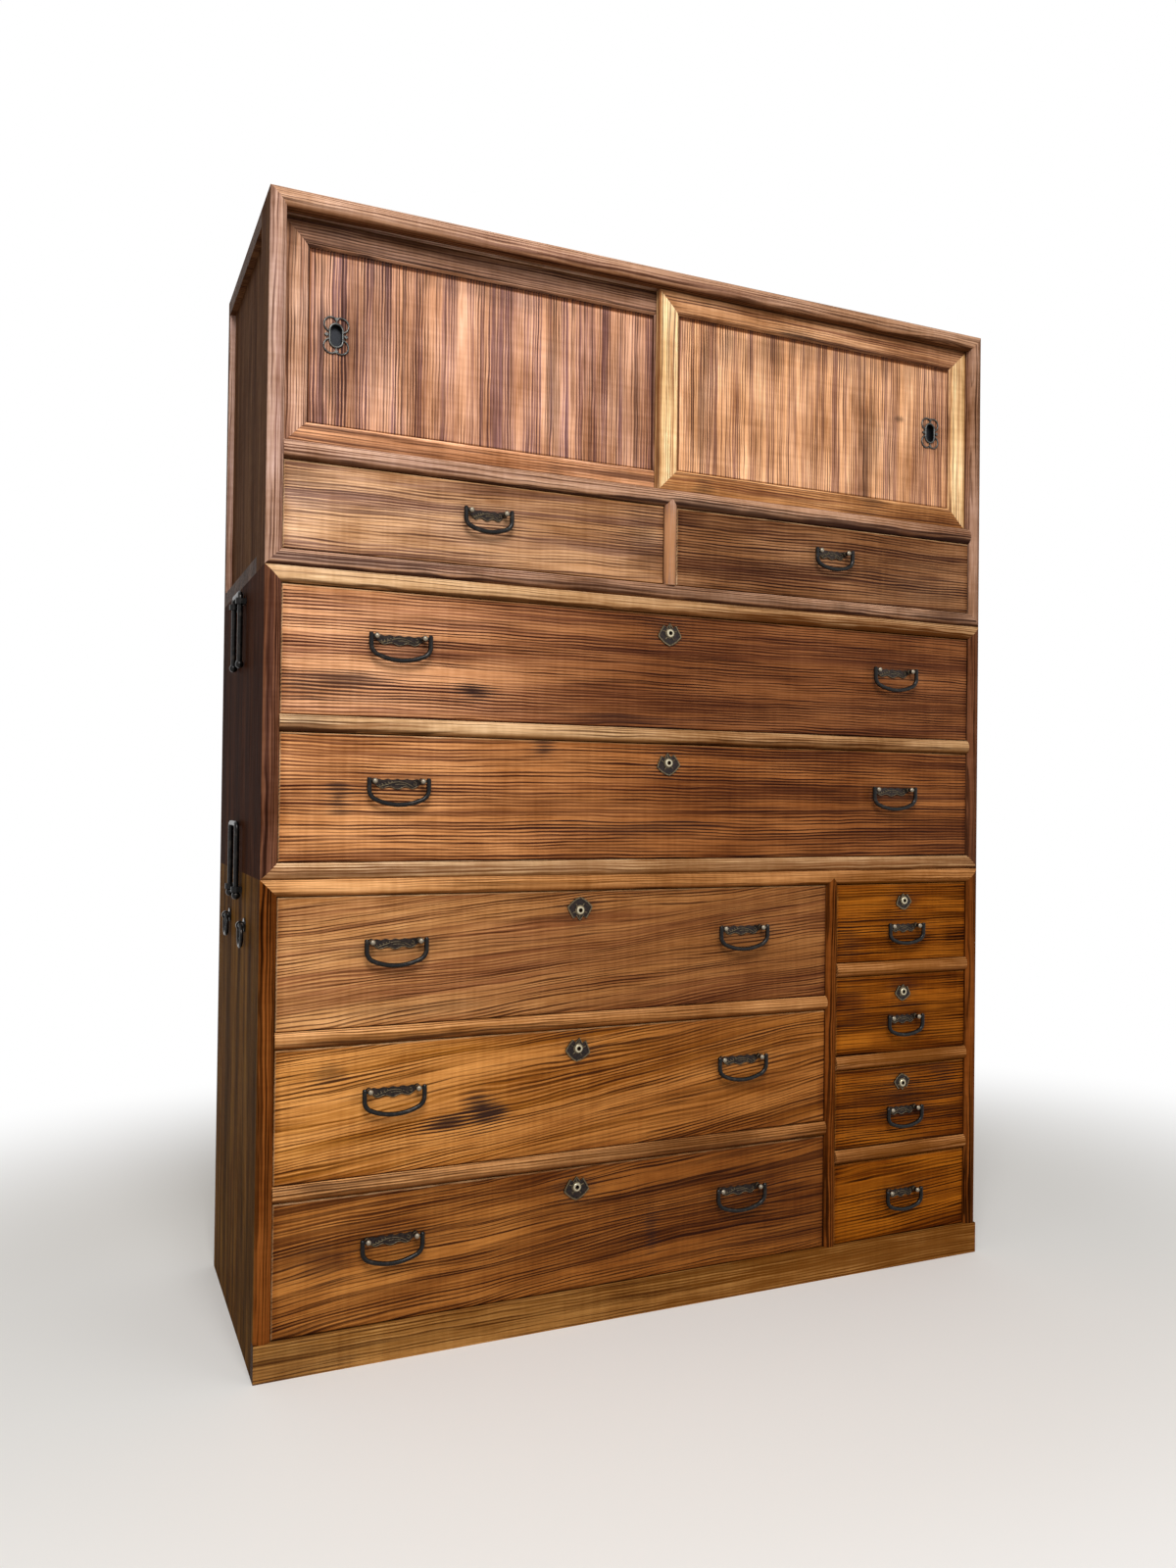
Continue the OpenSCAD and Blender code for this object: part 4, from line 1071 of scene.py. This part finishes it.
@dataclass
class Drawer:
    """One drawer with its bails: the wood, the plates and the raised work on them."""

    name: str
    sides: tuple[str, ...]
    flower: Flower | None
    look: dict[str, Any]
    marks: tuple[Mark, ...]
    face_mm: float
    order: int
    inside_mm: float = 7.9
    plate_t_mm: float = 1.5
    bail_end_mm: float = 4.5
    post_inset_mm: float = 11.2
    reach_mm: float = 11.0
    tube_mm: float = 5.0
    lock_drop_mm: float = 29.5
    top_gap_mm: float = 1.4
    flower_t_mm: float = 1.6
    grain_step_mm: tuple[float, float, float] = (1370.0, 0.0, 411.0)

    def __post_init__(self) -> None:
        """Reads the places of the bails and of the keyhole from the frame."""
        self.bails = [f"{self.name}_bail{side}" for side in self.sides]
        self.pins = []
        for bail in self.bails:
            low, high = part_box(bail)
            half = (high.x - low.x) / 2 / MM - self.post_inset_mm
            self.pins.append(((low.x + high.x) / 2 / MM, high.z / MM - self.bail_end_mm, half))
        low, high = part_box(self.name)
        self.keyhole = ((low.x + high.x) / 2 / MM, high.z / MM + self.top_gap_mm - self.lock_drop_mm)

    def _stains(self) -> tuple[Mark, ...]:
        """Lists the dark halos that the ironwork has left on the wood.

        Returns:
            The halos.
        """
        stains = [Mark(x + 6, z - 5, 2.9 * half + 44, 40, 0.34) for x, z, half in self.pins]
        if self.flower:
            stains.append(Mark(*self.keyhole, 74, 58, 0.40))
        return tuple(stains)

    def dress(self, nodes: dict[str, Object], iron: Material) -> None:
        """Gives the drawer's nodes their materials.

        Args:
            nodes: every CAD node by name.
            iron: the iron of the bails.
        """
        wood = OiledPaulownia(
            name=f"oiled_paulownia_{self.name}", front_mm=self.face_mm + self.inside_mm,
            face=Face.of(self.name), marks=self.marks + self._stains(),
            shift=tuple(self.order * step for step in self.grain_step_mm), **(FRONT | self.look))
        wear(nodes[self.name], wood.build())
        plate = BrownPlate(f"brown_plate_{self.name}", self.face_mm, self.reach_mm, self.tube_mm)
        self.metal = plate.build()
        wear(nodes[self.name + "_fittings"], self.metal)
        for bail in self.bails:
            wear(nodes[bail], iron)

    def raise_work(self, petals: PetalWork, scroll: LeafScroll) -> Object:
        """Makes the raised work of the drawer's plates as one piece that rides on the drawer.

        Args:
            petals: the work of the flower plates.
            scroll: the work of the bail plates.

        Returns:
            The piece.
        """
        pieces = []
        for number, (x, z, half) in enumerate(self.pins):
            place = upright(x, self.face_mm - self.plate_t_mm, z)
            pieces.append(scroll.bake(f"{self.name}_scroll_{number}", half, place))
        if self.flower:
            x, z = self.keyhole
            place = upright(x, self.face_mm - self.flower_t_mm, z, 90 - self.flower.turn)
            pieces.append(petals.bake(f"{self.name}_petals", self.flower.size_mm, place))
        work = joined(f"{self.name}_raised_work", pieces, self.metal)
        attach(work, self.name)
        return work


# What all level boards of the case share, and what its uprights share
LEVEL = dict(grain=Grain.LEVEL, lines=0.75, smoke=0.55, wear_and_highlight=0.6, waver_mm=6.0, gloss=0.40,
             flank=(0.18, 0.14, 0.10), specular=0.01, under=0.70)
STAND = dict(grain=Grain.UPRIGHT, lines=0.85, smoke=0.6, wear_and_highlight=0.35, waver_mm=8.0, gloss=0.55, specular=0.005)

# The look of each node of the case
CASE_LOOKS: dict[str, dict[str, Any]] = {
    "plinth": dict(
        shift=(310, 0, 90), light="#a4733c", mid="#7c5123", tone_and_falloff=0.16,
        marks=(Mark(-560, 20, 260, 90, 0.3), Mark(420, 25, 800, 120, 0.75, tone="#683a0c")), **LEVEL),
    "lower_boards": dict(
        shift=(2210, 0, 35), light="#d99e66", mid="#a26c3a", tone_and_falloff=0.38,
        marks=(Mark(-143, 240.5, 1300, 60, 0.30), Mark(440, 190, 300, 50, 0.20),
               Mark(-470, 434, 420, 12, 0.5), Mark(-470, 246, 400, 12, 0.4),
               Mark(-460, 643, 420, 20, 0.9, worn=True), Mark(60, 246, 760, 14, 0.45, tone="#5a3413"),
               Mark(450, 340, 330, 900, 0.55, tone="#74410f")), **LEVEL),
    "middle_boards": dict(
        shift=(5210, 0, 77), light="#e0b88c", mid="#ab7c54", tone_and_falloff=0.40,
        marks=(Mark(0, 665.5, 1400, 26, 0.22), Mark(-545, 862, 120, 40, 0.40),
               # Mark at (440, 1051): painted shade on the lower half of the top moulding
               Mark(-470, 664, 420, 22, 0.35), Mark(440, 1051, 1000, 22, 1.0, tone="#532d10"),
               # Worn mark at (-280, 1064): painted highlight on the upper half of the top moulding
               Mark(-280, 1064, 1000, 18, 1.0, worn=True), Mark(0, 665, 1400, 26, 0.4, tone="#8a5429")),
        **LEVEL),
    "upper_boards": dict(
        shift=(8210, 0, 59), light="#c69d82", mid="#8c6655", tone_and_falloff=0.26,
        marks=(Mark(0, 1080.5, 1400, 26, 0.40), Mark(520, 1080.5, 440, 32, 0.55),
               Mark(-480, 1080.5, 420, 32, 0.45), Mark(280, 1216, 1200, 24, 0.80),
               # Worn mark at (200, 1565): painted highlight on the upper half of the top board's rounded
               # front
               Mark(200, 1565, 1300, 14, 0.7, worn=True)), **LEVEL),
    "lower_uprights": dict(
        shift=(140, 0, 900), light="#7f451a", mid="#46230a", dark="#170802", tone_and_falloff=0.06,
        flank=(0.80, 1.18, 1.10), **STAND),
    "middle_uprights": dict(
        shift=(450, 0, 2900), light="#7a4f38", mid="#503126", dark="#241008", tone_and_falloff=0.30,
        flank=(0.27, 0.175, 0.075), **STAND),
    "upper_uprights": dict(
        shift=(760, 0, 4900), light="#bd9884", mid="#936d5e", dark="#4a2a1c", tone_and_falloff=0.34,
        flank=(0.24, 0.173, 0.093), marks=(Mark(0, 1150, 26, 170, 0.75, tone="#b9835a"),), **STAND),
}


@dataclass
class Carcass:
    """Boards, uprights, plinth and back of the three stacked sections."""

    front_mm: float
    oiled_mm: float = 46.0

    def dress(self, nodes: dict[str, Object]) -> None:
        """Gives each node of the case its wood, level or upright.

        Args:
            nodes: every CAD node by name.
        """
        oiled_mm = self.front_mm + self.oiled_mm
        for node, look in CASE_LOOKS.items():
            wood = OiledPaulownia(f"oiled_paulownia_{node}", reach=Reach.OUTSIDE, front_mm=oiled_mm, **look)
            wear(nodes[node], wood.build())


# The look of each door by its side
DOOR_LOOKS: dict[str, dict[str, Any]] = {
    "left": dict(
        shift=(1200.0, 0.0, 400.0), light="#cf9774", mid="#7e5650", stile=("#cfa184", "#9a6c54"),
        head=("#9d7359", "#664635"), foot=("#d19367", "#8a5b3e"),
        # Mark at (-300, 1498): painted shade on the panel's top band, under the top rail and the case's top
        marks=(Mark(-180, 1370, 30, 330, 0.42), Mark(-300, 1498, 560, 50, 0.34),
               Mark(-514, 1330, 34, 60, 0.40), Mark(-505, 1396, 70, 96, 0.34),
               Mark(-335, 1350, 46, 260, 0.5, worn=True), Mark(-60, 1380, 130, 340, 0.22),
               Mark(-270, 1524, 700, 34, 0.25), Mark(-470, 1400, 200, 330, 0.34))),
    "right": dict(
        shift=(3300.0, 0.0, 1100.0), light="#e6ab7d", mid="#9c6d56", stile=("#ecc28c", "#ac774c"),
        head=("#c08c62", "#7f5237"), foot=("#bd8450", "#7b4a2b"),
        # Mark at (300, 1496): painted shade on the panel's top band, under the top rail and the case's top
        marks=(Mark(300, 1496, 560, 56, 0.32), Mark(440, 1412, 26, 12, 0.6),
               # Mark at (-4, 1390), worn: painted highlight on the middle stile, where the light catches it
               Mark(500, 1396, 70, 90, 0.25), Mark(-4, 1390, 30, 330, 0.9, worn=True),
               Mark(562, 1390, 30, 330, 0.4, worn=True), Mark(230, 1520, 120, 24, 0.40),
               Mark(378, 1350, 64, 260, 0.50), Mark(64, 1370, 40, 320, 0.46),
               Mark(140, 1470, 200, 90, 0.30))),
}


@dataclass
class SlidingDoors:
    """The two doors and their pulls."""

    foot_mm: float = 3.5
    head_mm: float = 6.8
    panel_back_mm: float = 5.0

    def dress(self, nodes: dict[str, Object]) -> None:
        """Gives the doors their framed wood and the pulls their pewter.

        Args:
            nodes: every CAD node by name.
        """
        for side, look in DOOR_LOOKS.items():
            door = f"{side}_door"
            wood = FramedPaulownia(
                name=f"oiled_paulownia_{door}", grain=Grain.UPRIGHT, reach=Reach.ALL_OVER, dark="#44251b",
                line_mm=2.2, zone_mm=11.0, waver_mm=3.0, smoke=0.75, wear_and_highlight=0.6,
                face=Face.of(door, self.foot_mm, self.head_mm), **look)
            wear(nodes[door], wood.build())
            pewter = DarkPewter(f"dark_pewter_{side}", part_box(door)[0].y / MM + self.panel_back_mm)
            wear(nodes[f"{door}_pull"], pewter.build())


@dataclass
class Studio:
    """Plain floor and soft light, and the camera of the photograph."""

    front_mm: float
    left_mm: float = -600.0
    scale: float = 1569.5 / 1573.0
    focal_px: float = 1205.85
    yaw: float = 23.985
    pitch: float = 0.646
    roll: float = 0.714
    eye_mm: tuple[float, float, float] = (-238.2, -1583.8, 769.8)
    span_m: float = 14.0
    floor_colour: str = "#efedea"
    sky_colour: str = "#f4f2ee"
    shadow_mm: float = 900.0
    white_mm: float = 2100.0
    forward_stretch: float = 1.35
    window_w: float = 88.0
    fill_w: float = 15.0
    sky: float = 0.40

    def camera(self) -> None:
        """Sets the camera where the photograph was taken from."""
        data = bpy.data.cameras.new("camera")
        data.sensor_fit = "AUTO"
        data.sensor_width = SENSOR_MM
        data.lens = SENSOR_MM * self.focal_px / PHOTO_H
        data.clip_start = 0.05
        data.clip_end = 60.0
        yaw, pitch, roll = (math.radians(angle) for angle in (self.yaw, self.pitch, self.roll))
        ahead = Vector((math.sin(yaw) * math.cos(pitch), math.cos(yaw) * math.cos(pitch), math.sin(pitch)))
        right = Vector((math.cos(yaw), -math.sin(yaw), 0.0))
        up = right.cross(ahead)
        turned = right * math.cos(roll) + up * math.sin(roll)
        top = up * math.cos(roll) - right * math.sin(roll)
        corner = Vector((self.left_mm, self.front_mm, 0.0))
        eye = (corner + Vector(self.eye_mm) * self.scale) * MM
        rows = [(turned[i], top[i], -ahead[i], eye[i]) for i in range(3)]
        camera = placed("camera", data)
        camera.matrix_world = Matrix((*rows, (0, 0, 0, 1)))
        bpy.context.scene.camera = camera

    def floor(self) -> None:
        """Lays a pale floor that keeps the chest's shadow and passes into the white room further off."""
        mesh = bpy.data.meshes.new("floor")
        corners = [(x * self.span_m, y * self.span_m, 0) for x, y in ((-1, -1), (1, -1), (1, 1), (-1, 1))]
        mesh.from_pydata(corners, [], [(0, 1, 2, 3)])
        floor = placed("floor", mesh)
        at = Surface("pale_matt_floor")
        matt = {"Base Color": linear(self.floor_colour), "Roughness": 0.9, "Specular IOR Level": 0.2}
        for name, value in matt.items():
            feed(at.tree, at.shader.inputs[name], value)
        deep = at.y * self.forward_stretch
        away = (at.x * at.x + deep * deep).step("SQRT")
        far = between(away, self.shadow_mm, self.white_mm) * self._seen(at.tree)
        white = add_node(at.tree, "ShaderNodeEmission", {"Color": (1, 1, 1, 1), "Strength": 1.0})
        mix = add_node(at.tree, "ShaderNodeMixShader", {0: far, 1: at.shader.outputs[0], 2: white.outputs[0]})
        feed(at.tree, at.output.inputs["Surface"], mix.outputs[0])
        wear(floor, at.material)

    def _seen(self, tree: Tree) -> Value:
        """Tells the rays that look at the background from those that carry light.

        Args:
            tree: the tree.

        Returns:
            1 for a ray that looks, or else 0.
        """
        path = add_node(tree, "ShaderNodeLightPath").outputs
        glossy, clear = (Value(tree, path[kind]) for kind in ("Is Glossy Ray", "Is Transmission Ray"))
        return glossy.most(clear).most(path["Is Camera Ray"])

    def light(self) -> None:
        """Sets a broad window light from the upper left and an even pale sky."""
        self._lamp("window", Vector((-0.9, -2.3, 2.9)), Vector((-0.1, 0.0, 0.95)), 1.4, self.window_w)
        self._lamp("fill", Vector((2.4, -3.2, 1.5)), Vector((0.1, 0.0, 0.7)), 2.4, self.fill_w)
        world = bpy.data.worlds.new("pale_room")
        world.use_nodes = True
        tree = world.node_tree
        tree.nodes.clear()
        seen = self._seen(tree)
        pale = linear(self.sky_colour)
        soft = add_node(tree, "ShaderNodeBackground", {"Color": pale, "Strength": self.sky})
        white = add_node(tree, "ShaderNodeBackground", {"Color": (1, 1, 1, 1), "Strength": 1.0})
        mix = add_node(tree, "ShaderNodeMixShader", {0: seen, 1: soft.outputs[0], 2: white.outputs[0]})
        add_node(tree, "ShaderNodeOutputWorld", {"Surface": mix.outputs[0]})
        bpy.context.scene.world = world
        bpy.context.scene.view_settings.view_transform = "Standard"

    def _lamp(self, name: str, place: Vector, target: Vector, size: float, power: float) -> None:
        """Hangs one square soft lamp that looks at a target.

        Args:
            name: the lamp's name.
            place: where it hangs, in metres.
            target: what it looks at.
            size: its side, in metres.
            power: its power, in watts.
        """
        data = bpy.data.lights.new(name, "AREA")
        data.size = size
        data.energy = power
        lamp = placed(name, data)
        lamp.location = place
        lamp.rotation_euler = (target - place).to_track_quat("-Z", "Y").to_euler()


# The endings of the bails' names, and what the small drawers share
SINGLE, PAIR = ("",), ("_left", "_right")
# worn is the colour of the small drawers' painted edge highlight, rim its strength
DIM = dict(worn="#a06c34", rim=0.5, specular=0.02)
SMALL = dict(light="#8e4d0f", mid="#542703", dark="#1e0800", waver_mm=5, lines=1.0, smoke=0.9, **DIM)

# Every drawer from the top: its name, its bails, its lock's flower, the look of its front, its marks
DRAWERS: tuple[tuple[Any, ...], ...] = (
    ("upper_drawer_left", SINGLE, None,
     dict(light="#d4a47a", mid="#8c6654", dark="#4c2c22", lines=0.85, slope=0.02, waver_mm=14, smoke=0.8,
          tone_and_falloff=0.34, falloff_mm=420),
     (Mark(-200, 1120, 260, 60, 0.55, worn=True), Mark(-45, 1160, 90, 110, 0.40),
      Mark(-555, 1180, 130, 60, 0.30))),
    ("upper_drawer_right", SINGLE, None,
     dict(light="#8d603d", mid="#512e1b", dark="#2c140b", lines=1.0, line_mm=2.4, regular=0.17, slope=0.01,
          waver_mm=12, smoke=0.75),
     (Mark(90, 1190, 120, 46, 0.5, worn=True), Mark(470, 1130, 220, 90, 0.35),
      Mark(398, 1150, 12, 120, 0.6, worn=True))),
    ("middle_drawer_1", PAIR, Flower(19.5, 0),
     dict(light="#dfa274", mid="#9a664a", dark="#462216", regular=0.15, lines=1.0, waver_mm=7, smoke=0.6,
          tone_and_falloff=0.70, falloff_mm=560),
     (Mark(-312, 915, 74, 34, 0.95), Mark(-508, 917, 210, 44, 0.70), Mark(-69, 884, 240, 26, 0.45))),
    ("middle_drawer_2", PAIR, Flower(19.5, -6),
     dict(light="#d8965e", mid="#905b38", dark="#441f10", regular=0.15, lines=1.0, line_mm=2.5, waver_mm=8,
          smoke=0.7, tone_and_falloff=0.62),
     (Mark(-499, 762, 44, 60, 0.80), Mark(-201, 836, 60, 34, 0.90), Mark(-67, 723, 300, 30, 0.45))),
    ("wide_drawer_1", PAIR, Flower(19.5, 180),
     dict(light="#c18954", mid="#945e39", dark="#4c2711", lines=0.95, slope=0.09, waver_mm=20, tone_and_falloff=0.48),
     (Mark(-393, 473, 300, 24, 0.30),)),
    ("wide_drawer_2", PAIR, Flower(19.5, 8),
     dict(light="#d5924d", mid="#9f6220", dark="#4c2606", lines=0.95, line_mm=2.6, slope=0.11, waver_mm=24,
          tone_and_falloff=0.46),
     (Mark(-338, 312, 84, 40, 0.86), Mark(-288, 327, 72, 70, 0.95), Mark(-505, 396, 50, 40, 0.45))),
    ("wide_drawer_3", PAIR, Flower(19.5, 0),
     dict(light="#ae6f32", mid="#704018", dark="#361605", lines=0.95, line_mm=2.6, slope=0.08, waver_mm=22,
          smoke=0.8, tone_and_falloff=0.48),
     (Mark(-18, 110, 30, 90, 0.45), Mark(-509, 141, 90, 60, 0.35))),
    ("small_drawer_1", SINGLE, Flower(15.5, -8), SMALL,
     (Mark(519, 535, 44, 62, 0.8, worn=True), Mark(340, 540, 60, 90, 0.35))),
    ("small_drawer_2", SINGLE, Flower(15.5, 5), SMALL,
     (Mark(508, 450, 70, 110, 0.7, worn=True), Mark(345, 440, 80, 110, 0.30))),
    ("small_drawer_3", SINGLE, Flower(15.5, 174), SMALL,
     (Mark(380, 250, 120, 60, 0.4, worn=True), Mark(530, 300, 60, 90, 0.3),
      Mark(440, 290, 300, 200, 0.25))),
    ("small_drawer_4", SINGLE, None,
     dict(light="#904e0c", mid="#5e2c03", dark="#220a00", waver_mm=16, lines=0.95, line_mm=2.8, smoke=0.75,
          slope=0.05, **DIM),
     ()),
)


def main() -> None:
    """Builds the chest's looks in order."""
    logging.basicConfig(level=logging.INFO, format="%(message)s")
    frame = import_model()
    nodes = frame["nodes"]
    front_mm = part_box("lower_uprights")[0].y / MM
    face_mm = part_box("wide_drawer_1")[0].y / MM

    studio = Studio(front_mm)
    studio.camera()
    studio.floor()
    studio.light()

    Carcass(front_mm).dress(nodes)
    log.info("case dressed, front at %.1f mm", front_mm)
    SlidingDoors().dress(nodes)
    log.info("doors dressed")

    iron = BlackIron().build()
    petals = PetalWork()
    scroll = LeafScroll()
    for order, row in enumerate(DRAWERS, start=1):
        drawer = Drawer(*row, face_mm, order)
        drawer.dress(nodes, iron)
        work = drawer.raise_work(petals, scroll)
        log.info("%s: raised work of %d faces", drawer.name, len(work.data.polygons))
    for name, node in nodes.items():
        if name.endswith("_eyes") or "_loop_" in name or name.startswith("ring_"):
            wear(node, iron)
            log.info("%s: iron", name)


if __name__ == "__main__":
    main()
